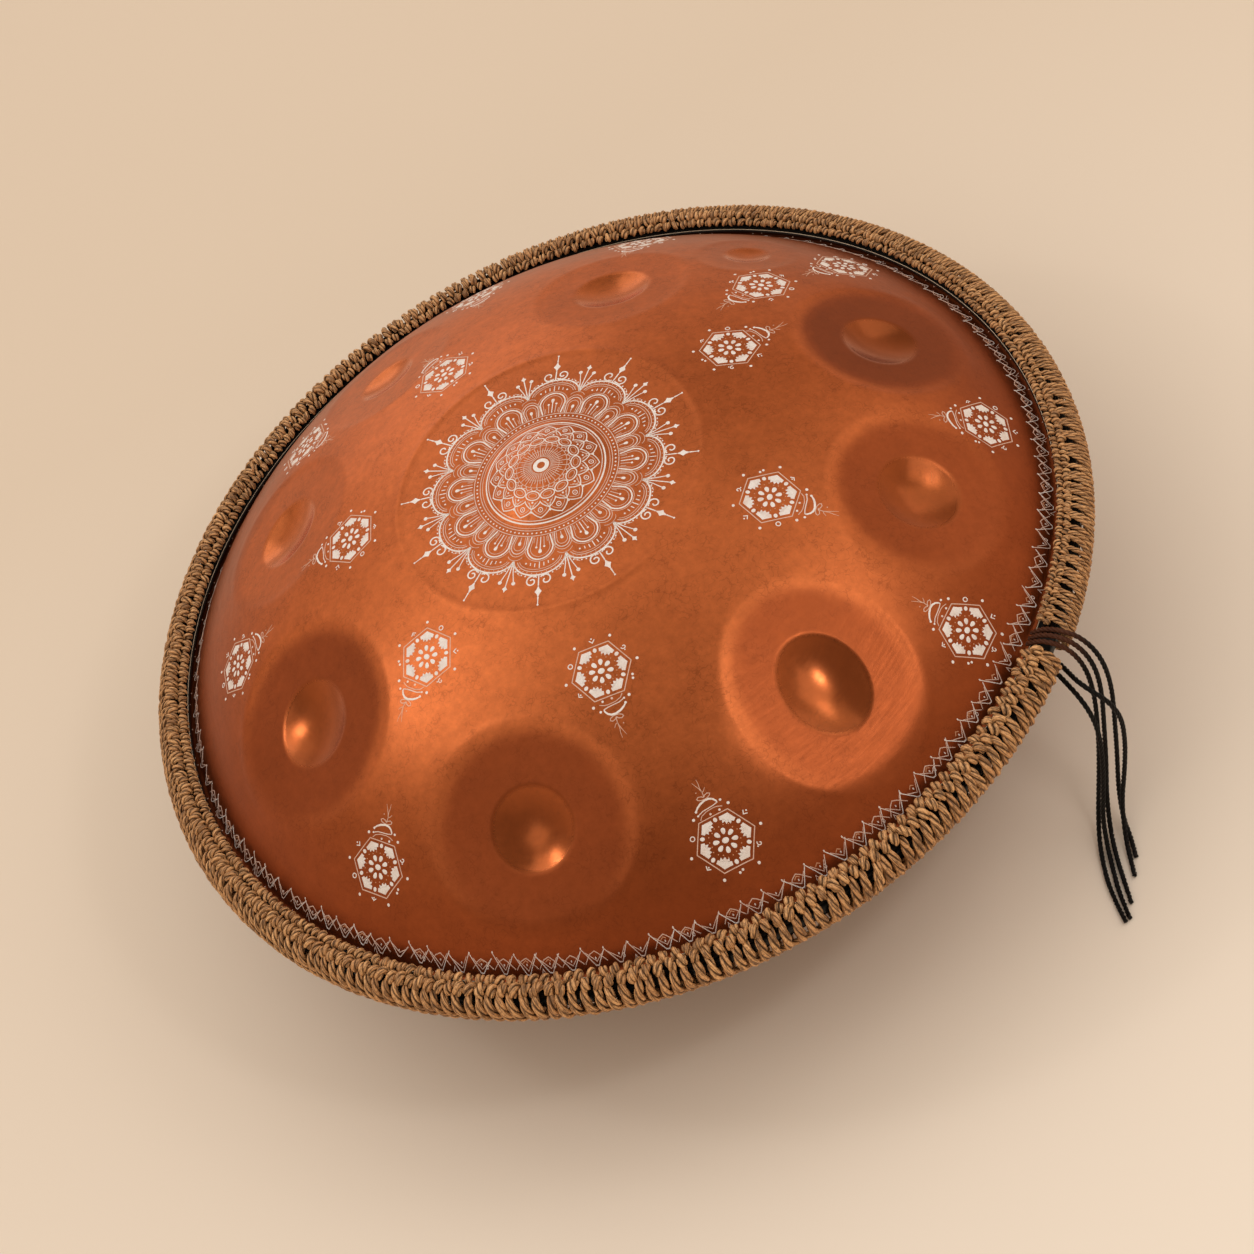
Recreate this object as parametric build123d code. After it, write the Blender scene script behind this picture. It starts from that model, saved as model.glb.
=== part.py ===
from build123d import *

import os
from math import cos, degrees, pi, radians, sin, sqrt, tan

# Handpan: two hammered steel shells glued rim to rim, with a corded rim cover.
# Millimetres.  The pan's axis is +Z and it stands on the flat land round its port, at z = 0.

# ---- driving dimensions: shells ----
dome_radius = 256.0        # where each dome meets its foot
dome_overrun = 24.0        # how far the dome's ellipse would run on past that radius
foot_height = 4.0          # height of that meeting over the rim plane
crown_rise = 114.0         # top dome's crown over the rim plane, without the ding
stand_depth = 118.0        # standing face under the rim plane
sheet = 1.1                # steel thickness
glue_line = 0.6            # adhesive between the two flanges
glue_inner_inset = 1.5     # adhesive kept back from the domes
glue_outer_inset = 0.5     # and from the flange edge
flange_width = 15.0        # flat flange outside the dome radius
foot_fillet = 2.0          # outside bend between dome and flange

# ---- ding (the centre note) ----
ding_radius = 36.0
ding_rise = 8.0
ding_field_radius = 90.0
ding_field_drop = 5.0      # how far the flattened field lies under the crown

# ---- the nine tone fields ----
# azimuth in degrees, inset of the centre from the dome radius, field radius, dimple radius
notes = [
    (-121.0, 56.0, 59.0, 23.5),
    (-69.0, 56.0, 58.0, 26.5),
    (-31.0, 56.0, 53.0, 23.5),
    (3.0, 55.0, 51.0, 21.5),
    (37.0, 50.0, 30.0, 13.0),
    (56.0, 101.0, 46.0, 22.0),
    (107.0, 78.0, 45.0, 18.0),
    (145.0, 79.0, 50.0, 22.5),
    (-170.0, 71.0, 59.0, 25.0),
]
dimple_depth = 0.22        # depth of a dimple, as a share of its own radius

# ---- port in the bottom shell ----
port_radius = 50.0
neck_length = 22.0         # from the standing face to the neck's inner end
port_bend = 4.0            # outside radius where the land turns into the neck
land_width = 10.0          # flat standing land, from the bend outward

# ---- rubber edge trim ----
trim_wall = 1.5
trim_bead_radius = 1.5
trim_bead_sides = 12
trim_lip_gap = 3.9         # from the dome radius out to the middle of the lip bead
trim_clearance = 0.2       # between flange edge and trim web
bead_clearance = 0.1

# ---- corded cover ----
cord = 4.0                 # twine of the turns and of the chain rows
core_cord = 3.0            # filler cords under the turns
core_gap = 0.9             # between the two filler cords of a pair
core_clearance = 0.1       # between a filler cord and the trim's leg
wrap_wall = 5.2            # thickness of the laid turns
pocket_clearance = 1.0     # between the filler cords and the turns
pocket_past_trim = 1.9     # how far the space inside the turns reaches past the trim
row_lip_gap = 0.3          # from the bead's middle out to the inner chain row
row_step_angle = 35.0      # from the inner chain row up to the outer one
row_step_gap = 0.75
row_clearance = 0.4
chain_clearance = 0.15
tie_azimuth = -46.55       # middle of the gap where the ties come out
tie_gap = 13.0             # length of that gap along the rim

# ---- loose tie ends, each from its exit to its cut tip ----
# route points: distance from the axis, azimuth in degrees, height
tie_diameter = 3.0
tie_routes = {
    "tie_end_1": [
        (260.6, -45.85, 124.6),
        (267.0, -45.85, 130.0),
        (279.0, -45.95, 132.0),
        (291.0, -46.0, 127.5),
        (299.5, -46.5, 115.0),
        (302.0, -47.4, 96.0),
        (299.0, -48.5, 71.0),
        (296.0, -49.7, 46.0),
        (293.0, -51.2, 21.0),
        (295.5, -52.9, 4.5),
        (304.0, -54.6, 1.5),
        (312.0, -56.4, 1.5),
    ],
    "tie_end_2": [
        (260.6, -46.65, 124.6),
        (267.0, -46.65, 130.0),
        (279.0, -46.7, 131.5),
        (289.5, -46.8, 126.0),
        (296.5, -47.3, 113.0),
        (297.5, -48.2, 95.0),
        (294.5, -49.5, 70.0),
        (291.5, -50.8, 45.0),
        (288.5, -52.4, 21.0),
        (291.0, -54.4, 5.0),
        (301.0, -57.0, 1.5),
        (314.0, -59.4, 1.5),
        (325.0, -61.2, 1.5),
    ],
    "tie_end_3": [
        (260.6, -47.42, 124.6),
        (267.0, -47.42, 129.5),
        (278.0, -47.4, 129.5),
        (286.5, -47.3, 122.5),
        (291.5, -47.6, 109.0),
        (292.5, -48.4, 91.0),
        (290.0, -49.6, 66.0),
        (287.0, -51.1, 42.0),
        (284.0, -52.9, 19.0),
        (286.5, -55.5, 4.5),
        (296.0, -58.4, 1.5),
        (309.0, -61.0, 1.5),
        (321.0, -63.0, 1.5),
    ],
    "tie_end_4": [
        (262.0, -47.1, 110.8),
        (268.0, -47.3, 104.5),
        (277.0, -48.3, 99.5),
        (286.5, -49.6, 99.5),
        (294.0, -50.5, 92.5),
        (297.0, -51.1, 78.0),
        (295.5, -52.0, 57.0),
        (292.5, -53.1, 36.0),
        (290.0, -54.5, 17.0),
        (293.5, -56.2, 4.5),
        (303.0, -58.4, 1.5),
        (316.0, -60.9, 1.5),
        (330.0, -62.7, 1.5),
    ],
    "tie_end_5": [
        (262.0, -45.9, 111.2),
        (268.0, -46.2, 106.0),
        (278.0, -47.5, 105.0),
        (288.0, -49.0, 107.5),
        (297.5, -49.7, 106.0),
        (305.0, -49.6, 98.0),
        (308.5, -49.5, 83.0),
        (306.5, -50.1, 63.0),
        (302.0, -51.0, 41.0),
        (298.0, -52.6, 20.0),
        (302.0, -54.9, 4.5),
        (310.0, -56.9, 1.5),
        (317.5, -58.4, 1.5),
    ],
}

# ---- derived places ----
rim_z = stand_depth
land_radius = port_radius + port_bend + land_width
ellipse_radius = dome_radius + dome_overrun
edge_share = 1.0 - sqrt(1.0 - (dome_radius / ellipse_radius) ** 2)
top_semi = (crown_rise - foot_height) / edge_share
land_share = 1.0 - sqrt(1.0 - (land_radius / ellipse_radius) ** 2)
bottom_semi = (stand_depth - foot_height) / (edge_share - land_share)
flange_radius = dome_radius + flange_width
flange_low = glue_line / 2
flange_high = flange_low + sheet
trim_inner = dome_radius + trim_lip_gap
trim_outer = flange_radius + trim_clearance + trim_wall
trim_high = flange_high + trim_wall
bead_z = flange_high + bead_clearance + trim_bead_radius
bead_top = bead_z + trim_bead_radius
row_radius = cord / 2
row_1_r = trim_inner + row_lip_gap + row_radius
row_1_z = bead_top + row_clearance + row_radius
row_2_r = row_1_r + (cord + row_step_gap) * cos(radians(row_step_angle))
row_2_z = row_1_z + (cord + row_step_gap) * sin(radians(row_step_angle))
core_z = trim_high + core_clearance + core_cord / 2
pocket_half_height = trim_high + core_cord + pocket_clearance
pocket_inner = trim_inner + trim_bead_radius
pocket_outer = trim_outer + pocket_past_trim
pocket_half_width = (pocket_outer - pocket_inner) / 2
pocket_r = (pocket_outer + pocket_inner) / 2
rope_outer = pocket_outer + wrap_wall
gap_angle = degrees(tie_gap / pocket_r)

# ---- helpers for cutting and picking ----
far = 2.0 * ellipse_radius # larger than the pan
cutter_height = 40.0       # more than any tone field takes off
cutter_reach = 1.35        # cutting disc's radius, as a share of the tone field's
pick = 0.01                # how near a corner lies to the place it is looked for


def block(low_r, high_r, low_z, high_z):
    """Rectangle of the half section, from two radii and two heights."""
    middle = Pos((low_r + high_r) / 2, (low_z + high_z) / 2)
    return middle * Rectangle(high_r - low_r, high_z - low_z)


def ring(section, arc=360.0, start=0.0):
    """Turn a half section about the pan's axis, from azimuth start, and lift it to the rim."""
    turned = revolve(Plane.XZ * section, axis=Axis.Z, revolution_arc=arc)
    return Pos(0, 0, rim_z) * Rot(0, 0, start) * turned


def corded(section):
    """A ring that stops each side of the tie gap."""
    return ring(section, 360.0 - gap_angle, tie_azimuth + gap_angle / 2)


def save(name, shape):
    """Write one named piece."""
    shape.label = name
    export_step(shape, "parts/" + name + ".step")


def top_section(skin):
    """Half section of the top dome, skin millimetres inside its outer face."""
    centre_z = crown_rise - top_semi
    body = Pos(0, centre_z) * Ellipse(ellipse_radius - skin, top_semi - skin)
    field_z = crown_rise - ding_field_drop
    edge_drop = top_semi * (1.0 - sqrt(1.0 - (ding_field_radius / ellipse_radius) ** 2))
    field_sag = edge_drop - ding_field_drop
    field_ball = (ding_field_radius ** 2 + field_sag ** 2) / (2 * field_sag)
    body &= Pos(0, field_z - field_ball) * Circle(field_ball - skin)
    foot_drop = field_ball - sqrt(field_ball ** 2 - ding_radius ** 2)
    ding_ball = (ding_radius ** 2 + ding_rise ** 2) / (2 * ding_rise)
    ding_top = field_z - foot_drop + ding_rise
    run_in = 4 * sheet
    cap = Pos(0, ding_top - ding_ball) * Circle(ding_ball - skin)
    cap &= block(0, 2 * ding_radius, field_z - foot_drop - run_in, field_z + far)
    return (body & block(0, far, flange_low, far)) + cap


def note_plane(azimuth, inset, field_radius):
    """Plane of a flattened tone field: its middle, facing straight out of the dome."""
    share = (dome_radius - inset) / ellipse_radius
    rise = sqrt(1.0 - share ** 2)
    stretch = sqrt((ellipse_radius * rise) ** 2 + (top_semi * share) ** 2)
    along = stretch ** 3 / (ellipse_radius * top_semi)
    around = ellipse_radius * stretch / top_semi
    sink = field_radius ** 2 / (2 * sqrt(along * around))
    out_r = top_semi * share / stretch
    out_z = ellipse_radius * rise / stretch
    r = dome_radius - inset - sink * out_r
    z = rim_z + crown_rise - top_semi * (1.0 - rise) - sink * out_z
    a = radians(azimuth)
    outward = (out_r * cos(a), out_r * sin(a), out_z)
    tangent = (-sin(a), cos(a), 0)
    return Plane(origin=(r * cos(a), r * sin(a), z), x_dir=tangent, z_dir=outward)


def note_cutter(note, skin):
    """What a tone field and its dimple take off the dome, grown by skin."""
    azimuth, inset, field_radius, dimple_radius = note
    depth = dimple_depth * dimple_radius
    ball = (dimple_radius ** 2 + depth ** 2) / (2 * depth)
    half = cutter_height / 2
    slab = Pos(0, 0, half - skin) * Cylinder(cutter_reach * field_radius, cutter_height)
    bowl = Pos(0, 0, ball - depth) * Sphere(ball + skin)
    bowl &= Pos(0, 0, -half) * Box(far, far, cutter_height + 2 * skin)
    return note_plane(azimuth, inset, field_radius) * (slab + bowl)


def make_top_shell():
    """Dome with the ding, nine tone fields and a flat flange."""
    outer = top_section(0) + block(dome_radius - sheet, flange_radius, flange_low, flange_high)
    corners = outer.vertices().filter_by(lambda v: abs(v.Y - flange_high) < pick)
    outer = fillet(corners.sort_by(Axis.X)[0], foot_fillet)
    inner = top_section(sheet)
    solid = ring(outer)
    hollow = ring(inner)
    for note in notes:
        solid -= note_cutter(note, 0.0)
        hollow -= note_cutter(note, sheet)
    return solid - hollow


def bottom_section(skin):
    """Half section of the bottom dome, skin millimetres inside its outer face."""
    centre_z = -foot_height - bottom_semi * edge_share + bottom_semi
    body = Pos(0, centre_z) * Ellipse(ellipse_radius - skin, bottom_semi - skin)
    return body & block(0, far, skin - stand_depth, -flange_low)


def make_bottom_shell():
    """Dome with a flat flange, a flat standing land and an inward port neck."""
    outer = bottom_section(0) + block(dome_radius - sheet, flange_radius, -flange_high, -flange_low)
    corners = outer.vertices().filter_by(lambda v: abs(v.Y + flange_high) < pick)
    outer = fillet(corners.sort_by(Axis.X)[0], foot_fillet)
    shell = outer - bottom_section(sheet)
    neck_top = neck_length - stand_depth
    shell += block(port_radius, port_radius + sheet, -stand_depth, neck_top)
    shell -= block(0, port_radius, -far, 0)
    mouth = shell.vertices().filter_by(lambda v: v.X < port_radius + 2 * sheet)
    low = mouth.filter_by(lambda v: v.Y < sheet + pick - stand_depth)
    outside = low.filter_by(lambda v: v.X < port_radius + pick)
    shell = fillet(outside, port_bend)
    inside = shell.vertices().filter_by(lambda v: abs(v.X - port_radius - sheet) < pick)
    inside = inside.filter_by(lambda v: abs(v.Y - sheet + stand_depth) < pick)
    shell = fillet(inside, port_bend - sheet)
    return ring(shell)


def make_rim_adhesive():
    """The cured glue between the two flanges."""
    inner = dome_radius + glue_inner_inset
    outer = flange_radius - glue_outer_inset
    return ring(block(inner, outer, -flange_low, flange_low))


def make_edge_trim():
    """U channel pushed over both flanges, with a bead on each lip."""
    channel = block(trim_inner, trim_outer, -trim_high, trim_high)
    bead = RegularPolygon(trim_bead_radius, trim_bead_sides)
    channel += Pos(trim_inner, bead_z) * bead
    channel += Pos(trim_inner, -bead_z) * bead
    slot = block(trim_inner - far, flange_radius + trim_clearance, -flange_high, flange_high)
    return ring(channel - slot)


def make_core_cords(side):
    """Two filler cords side by side on one leg of the trim; side is 1 above, -1 below."""
    cords = []
    for step in (-0.5, 0.5):
        middle = Pos(pocket_r + step * (core_cord + core_gap), side * core_z)
        cords.append(corded(middle * Circle(core_cord / 2)))
    return Compound(children=cords)


def make_chain_row(r, z):
    """One row of chain knots, as the ring that they fill."""
    return corded(Pos(r, z) * Circle(row_radius))


def make_wrap():
    """The turns that go over the rim from the upper chain rows to the lower ones."""
    half_height = pocket_half_height + wrap_wall
    turns = Pos(pocket_r, 0) * Ellipse(pocket_half_width + wrap_wall, half_height)
    turns -= Pos(pocket_r, 0) * Ellipse(pocket_half_width, pocket_half_height)
    turns -= block(0, row_1_r + row_radius + chain_clearance, -far, far)
    seat = row_radius + chain_clearance
    for side in (1, -1):
        turns -= Pos(row_2_r, side * row_2_z) * Circle(seat)
        open_above = Pos(row_2_r, side * (row_2_z + far / 2)) * Rectangle(2 * seat, far)
        turns -= open_above
    return corded(turns)


def route_points(route):
    """A tie's route as points in space."""
    points = []
    for r, azimuth, height in route:
        a = radians(azimuth)
        points.append(Vector(r * cos(a), r * sin(a), height))
    return points


def corner_radii(points):
    """The largest even arc at each corner of a route."""
    radii = []
    for before, corner, after in zip(points, points[1:], points[2:]):
        run_in = corner - before
        run_out = after - corner
        half_turn = radians(run_in.get_angle(run_out)) / 2
        radii.append(0.45 * min(run_in.length, run_out.length) / tan(half_turn))
    return radii


def make_tie(name, route):
    """One loose tie end as a round tube along straight runs and tangent arcs."""
    points = route_points(route)
    radii = corner_radii(points)
    path = FilletPolyline(*points, radius=radii)
    start = Plane(origin=path @ 0, z_dir=path % 0)
    tube = sweep(start * Circle(tie_diameter / 2), path=path.wire())
    full = pi * tie_diameter ** 2 / 4 * path.length
    print(name, "length", round(path.length, 1), "volume share", round(tube.volume / full, 4))
    print("  arc radii", [round(radius, 1) for radius in radii])
    return tube


os.makedirs("parts", exist_ok=True)

save("top_shell", make_top_shell())
save("bottom_shell", make_bottom_shell())
save("rim_adhesive", make_rim_adhesive())
save("edge_trim", make_edge_trim())
save("core_cords_upper", make_core_cords(1))
save("core_cords_lower", make_core_cords(-1))
save("rope_turns", make_wrap())
save("chain_row_upper_inner", make_chain_row(row_1_r, row_1_z))
save("chain_row_upper_outer", make_chain_row(row_2_r, row_2_z))
save("chain_row_lower_inner", make_chain_row(row_1_r, -row_1_z))
save("chain_row_lower_outer", make_chain_row(row_2_r, -row_2_z))
for tie_name, tie_route in tie_routes.items():
    save(tie_name, make_tie(tie_name, tie_route))
print("rope outer diameter", 2 * rope_outer)
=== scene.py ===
"""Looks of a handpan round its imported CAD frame.

Metres, +Z up.  The pan's axis is Z and it stands on the land round its port, at z = 0.
"""
from math import cos, pi, radians, sin, sqrt

import bmesh
import bpy
import numpy as np
from mathutils import Matrix, Vector
from mathutils.geometry import delaunay_2d_cdt


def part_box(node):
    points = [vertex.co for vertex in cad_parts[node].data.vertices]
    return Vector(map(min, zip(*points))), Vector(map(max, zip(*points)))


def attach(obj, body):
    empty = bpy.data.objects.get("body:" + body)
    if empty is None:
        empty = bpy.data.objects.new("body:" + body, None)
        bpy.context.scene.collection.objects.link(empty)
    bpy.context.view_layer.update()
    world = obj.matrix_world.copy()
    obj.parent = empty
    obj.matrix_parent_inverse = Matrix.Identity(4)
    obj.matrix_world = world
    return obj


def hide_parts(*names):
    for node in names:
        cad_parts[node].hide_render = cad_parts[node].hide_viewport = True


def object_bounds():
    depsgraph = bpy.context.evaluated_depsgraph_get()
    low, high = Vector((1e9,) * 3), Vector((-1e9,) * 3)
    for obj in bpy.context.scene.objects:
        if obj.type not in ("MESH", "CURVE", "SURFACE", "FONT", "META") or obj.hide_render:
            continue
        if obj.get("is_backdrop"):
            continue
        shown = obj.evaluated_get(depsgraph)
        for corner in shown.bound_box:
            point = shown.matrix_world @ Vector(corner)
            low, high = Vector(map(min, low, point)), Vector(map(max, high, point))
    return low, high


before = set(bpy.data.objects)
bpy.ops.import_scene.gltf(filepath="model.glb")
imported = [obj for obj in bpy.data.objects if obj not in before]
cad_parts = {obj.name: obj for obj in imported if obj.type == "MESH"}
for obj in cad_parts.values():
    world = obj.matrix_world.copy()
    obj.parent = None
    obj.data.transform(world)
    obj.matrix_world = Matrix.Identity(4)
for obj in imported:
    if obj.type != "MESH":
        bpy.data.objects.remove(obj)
cad_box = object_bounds()

MM = 0.001


# ---- sizes that the CAD model has ----
def middle_height(node):
    low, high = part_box(node)
    return (low.z + high.z) / 2


rim_z = middle_height("rim_adhesive")
flange_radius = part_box("top_shell")[1].x
ding_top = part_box("top_shell")[1].z - rim_z
trim_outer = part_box("edge_trim")[1].x
rope_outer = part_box("rope_turns")[1].x
rope_half_height = (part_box("rope_turns")[1].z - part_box("rope_turns")[0].z) / 2
row_1_z = middle_height("chain_row_upper_inner") - rim_z
row_2_z = middle_height("chain_row_upper_outer") - rim_z

dome_radius = 256 * MM          # where each dome meets its foot
ellipse_radius = 280 * MM       # half axis of the dome's ellipse
foot_height = 4 * MM
crown_rise = 114 * MM
sheet = 1.1 * MM
flange_low = 0.3 * MM
flange_high = flange_low + sheet
ding_radius = 36 * MM
ding_rise = 8 * MM
ding_field_radius = 90 * MM
ding_field_drop = 5 * MM
port_radius = 50 * MM
port_bend = 4 * MM
land_radius = 64 * MM
neck_length = 22 * MM
trim_wall = 1.5 * MM
row_radius = 2 * MM
tie_azimuth = -46.55
tie_gap_angle = 2.78
tie_diameter = 3 * MM
dimple_share = 0.22             # a dimple's depth, as a share of its radius

# tone fields: azimuth in degrees, distance from the axis, field radius, dimple radius, how brown;
# an oval one adds how much longer than wide it is, and its long axis' turn from outward
# The low values of the far fields, from 37 to 145 degrees, are a painted reflection of the pale sheen they
# show; the 1.25 at 3 degrees is painted shade.
notes = [
    (-121, 200 * MM, 59 * MM, 23.5 * MM, 1.0),
    (-69, 200 * MM, 57 * MM, 26 * MM, 1.0, 1.25, -10),
    (-31, 200 * MM, 53 * MM, 23.5 * MM, 1.0),
    (3, 201 * MM, 51 * MM, 21.5 * MM, 1.25),
    (37, 206 * MM, 30 * MM, 13 * MM, 0.5),
    (56, 155 * MM, 46 * MM, 22 * MM, 0.3),
    (107, 178 * MM, 45 * MM, 18 * MM, 0.15),
    (145, 177 * MM, 50 * MM, 22.5 * MM, 0.1),
    (-170, 185 * MM, 59 * MM, 25 * MM, 1.0),
]

# ---- sizes that only the look has ----
flange_inner = 257.2 * MM       # where each shell's inner face meets its flange
trim_inner = 261.3 * MM         # middle of the round beads on the trim's lips
trim_bead = 1.1 * MM
nick = 0.2 * MM                 # bevel on the sheets' and the neck's edges
soft_edge = 0.9 * MM            # rounding where a field or dimple meets the dome
tie_ply = 0.27 * tie_diameter   # radius of each of a tie's three plies
tie_lay = 9 * MM                # length in which they go once round
wander_length = 3.1 * MM        # how soon a ply wanders in and out of its bundle
fibre_turn = 1.5 * MM           # radius at which the fibre pattern is laid round a ply
groove_low, groove_high = 0.62, 0.93    # shares of a bundle's radius between which its grooves lie

edge_share = 1 - sqrt(1 - (dome_radius / ellipse_radius) ** 2)
land_share = 1 - sqrt(1 - (land_radius / ellipse_radius) ** 2)
top_semi = (crown_rise - foot_height) / edge_share
bottom_semi = (rim_z - foot_height) / (edge_share - land_share)


def link(name, data):
    """A new object in the scene."""
    made = bpy.data.objects.new(name, data)
    bpy.context.scene.collection.objects.link(made)
    return made


# ---- camera ----
def make_camera():
    """The photograph's viewing angle: the pan lies level and the camera is rolled."""
    elevation = radians(48.26)
    roll = radians(-30.32)
    right_shift, down_shift, distance = -7.95 * MM, -21.69 * MM, 2435.29 * MM
    back = Vector((0, -cos(elevation), sin(elevation)))
    level = Vector((1, 0, 0))
    rise = back.cross(level)
    side = cos(roll) * level + sin(roll) * rise
    down = sin(roll) * level - cos(roll) * rise
    data = bpy.data.cameras.new("camera")
    data.lens = 123.44
    data.sensor_width = 36
    camera = link("camera", data)
    place = Vector((0, 0, rim_z)) - right_shift * side - down_shift * down + distance * back
    turn = Matrix((side, -down, back)).transposed()
    camera.matrix_world = Matrix.Translation(place) @ turn.to_4x4()
    bpy.context.scene.camera = camera


make_camera()


# ---- mesh helpers ----
def add_piece(name, mesh, material, node=None):
    """Link a piece that rides with the pan's one body; node is what it stands for."""
    piece = link(name, mesh)
    mesh.materials.append(material)
    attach(piece, "root")
    if node:
        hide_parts(node)
    return piece


def build_mesh(name, points, *face_groups, **attributes):
    """Smooth mesh from an array of points and arrays of faces, one array per corner count."""
    mesh = bpy.data.meshes.new(name)
    points = np.asarray(points, np.float32).reshape(-1, 3)
    mesh.vertices.add(len(points))
    mesh.vertices.foreach_set("co", points.ravel())
    corners = np.concatenate([group.ravel() for group in face_groups])
    sizes = np.concatenate([np.full(len(group), group.shape[1]) for group in face_groups])
    starts = np.concatenate([[0], np.cumsum(sizes)[:-1]])
    mesh.loops.add(len(corners))
    mesh.loops.foreach_set("vertex_index", corners.astype(np.int32))
    mesh.polygons.add(len(sizes))
    mesh.polygons.foreach_set("loop_start", starts.astype(np.int32))
    for key, values in attributes.items():
        set_attribute(mesh, key, values)
    mesh.update(calc_edges=True)
    mesh.shade_smooth()
    return mesh


def set_attribute(mesh, key, values):
    """Give every point of a mesh a number or a vector, for its material to read."""
    values = np.asarray(values, np.float32)
    kind, field = ("FLOAT", "value") if values.ndim == 1 else ("FLOAT_VECTOR", "vector")
    mesh.attributes.new(key, kind, "POINT").data.foreach_set(field, values.ravel())


def finish_faces(mesh, sharp, weld=False):
    """Turn faces outward, after welding doubled points if asked, and keep corners over sharp degrees."""
    work = bmesh.new()
    work.from_mesh(mesh)
    if weld:
        bmesh.ops.remove_doubles(work, verts=work.verts, dist=0.01 * MM)
    bmesh.ops.recalc_face_normals(work, faces=work.faces)
    work.to_mesh(mesh)
    work.free()
    mesh.set_sharp_from_angle(angle=radians(sharp))


def smooth_step(value, low, high):
    share = np.clip((value - low) / (high - low), 0, 1)
    return share * share * (3 - 2 * share)


def unit(vectors):
    """Vectors at length 1."""
    return vectors / np.linalg.norm(vectors, axis=-1, keepdims=True)


def circle(angle):
    """Pairs on a circle of radius 1."""
    return np.stack([np.cos(angle), np.sin(angle)], -1)


def polar(azimuth, r, z):
    """Points from azimuth in radians, distance from the axis and height."""
    azimuth, r, z = np.broadcast_arrays(azimuth, r, z)
    return np.stack([r * np.cos(azimuth), r * np.sin(azimuth), z], -1)


def swing(first, second, angle):
    """Directions at an angle from one unit vector towards another."""
    return first * np.cos(angle)[..., None] + second * np.sin(angle)[..., None]


def quads_between(a, b, closed=True):
    """Quads that join rows of point numbers; closed rows go back to their start."""
    quads = np.stack([a, b, np.roll(b, -1, -1), np.roll(a, -1, -1)], -1)
    if not closed:
        quads = quads[..., :-1, :]
    return quads.reshape(-1, 4)


def turned_mesh(name, profile, steps=256):
    """Surface of revolution; profile is a closed list of (distance from axis, height over the rim)."""
    profile = np.array(profile)
    azimuth = np.arange(steps) * 2 * pi / steps
    points = polar(azimuth, profile[:, :1], profile[:, 1:] + rim_z)
    index = np.arange(points.size // 3).reshape(-1, steps)
    return build_mesh(name, points, quads_between(index, np.roll(index, -1, 0)))


# ---- twisted strands ----
def along(path):
    """Distance run along each path."""
    steps = np.linalg.norm(np.diff(path, axis=-2), axis=-1)
    return np.concatenate([np.zeros(steps.shape[:-1] + (1,)), np.cumsum(steps, -1)], -1)


def path_frames(path, lean):
    """Normals and binormals along paths; each normal leans the way that lean points."""
    tangent = unit(np.gradient(path, axis=-2))
    normal = unit(lean - np.sum(lean * tangent, -1, keepdims=True) * tangent)
    return normal, np.cross(tangent, normal)


def bundle_mesh(name, path, lean, radius, ply, lay, phase, sizes, tints, sides, wander=0.0):
    """Bundles twisted along paths of shape (bundles, points, 3); each ply is closed at both ends.

    radius and ply are a bundle's and its plies' radii at each point; sizes and tints say, for each
    ply of every bundle, how much thicker and how much lighter it is.
    """
    count = len(sizes)
    normal, binormal = path_frames(path, lean)
    run = along(path)
    strands = []
    for k in range(count):
        angle = 2 * pi * (run / lay + k / count) + phase
        reach = (radius - ply) * (1 + wander * np.sin(run / wander_length + 2.1 * k + phase))
        strands.append(path + reach[..., None] * swing(normal, binormal, angle))
    strands = np.concatenate(strands)
    normal, binormal = path_frames(strands, np.concatenate([np.broadcast_to(lean, path.shape)] * count))
    angle = np.arange(sides) * 2 * pi / sides
    around = swing(normal[..., None, :], binormal[..., None, :], angle)
    points = strands[..., None, :] + np.concatenate([ply * size for size in sizes])[..., None, None] * around
    index = np.arange(points.size // 3).reshape(points.shape[:-1])
    quads = quads_between(index[:, :-1], index[:, 1:])[:, ::-1]
    caps = np.concatenate([index[:, 0], index[:, -1, ::-1]])
    tint = np.concatenate(tints)[:, None, None]
    turn = fibre_turn * circle(angle).T
    fibre = np.stack(np.broadcast_arrays(along(strands)[..., None] + tint, *turn), -1)
    tone = np.broadcast_to(tint, index.shape)
    from_core = points - np.concatenate([path] * count)[..., None, :]
    out = np.linalg.norm(from_core, axis=-1) / np.concatenate([radius] * count)[..., None]
    # groove is 0 deep between the plies and 1 outside; the twine paints shade where it is low.
    groove = smooth_step(out, groove_low, groove_high)
    return build_mesh(name, points, quads, caps, fibre=fibre.reshape(-1, 3), tone=tone.ravel(),
                      groove=groove.ravel())


# ---- materials ----
class Nodes:
    """Short ways to add shader nodes; a value is a number, a colour or the socket that feeds it."""

    def __init__(self, tree):
        self.tree = tree

    def node(self, kind, inputs=None, **settings):
        made = self.tree.nodes.new(kind)
        for key, value in settings.items():
            setattr(made, key, value)
        for key, value in (inputs or {}).items():
            self.join(value, made.inputs[key])
        return made

    def join(self, value, socket):
        if isinstance(value, bpy.types.NodeSocket):
            self.tree.links.new(value, socket)
        elif socket.type == "RGBA":
            socket.default_value = (*value, 1)
        else:
            socket.default_value = value

    def span(self, value, low, high, to_low=0.0, to_high=1.0):
        inputs = {"Value": value, "From Min": low, "From Max": high, "To Min": to_low, "To Max": to_high}
        return self.node("ShaderNodeMapRange", inputs).outputs[0]

    def math(self, operation, a, b=0.0):
        return self.node("ShaderNodeMath", {0: a, 1: b}, operation=operation).outputs[0]

    def times(self, a, b):
        return self.math("MULTIPLY", a, b)

    def place(self, kind="Object"):
        return self.node("ShaderNodeTexCoord").outputs[kind]

    def split(self, vector):
        return self.node("ShaderNodeSeparateXYZ", {"Vector": vector}).outputs


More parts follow.
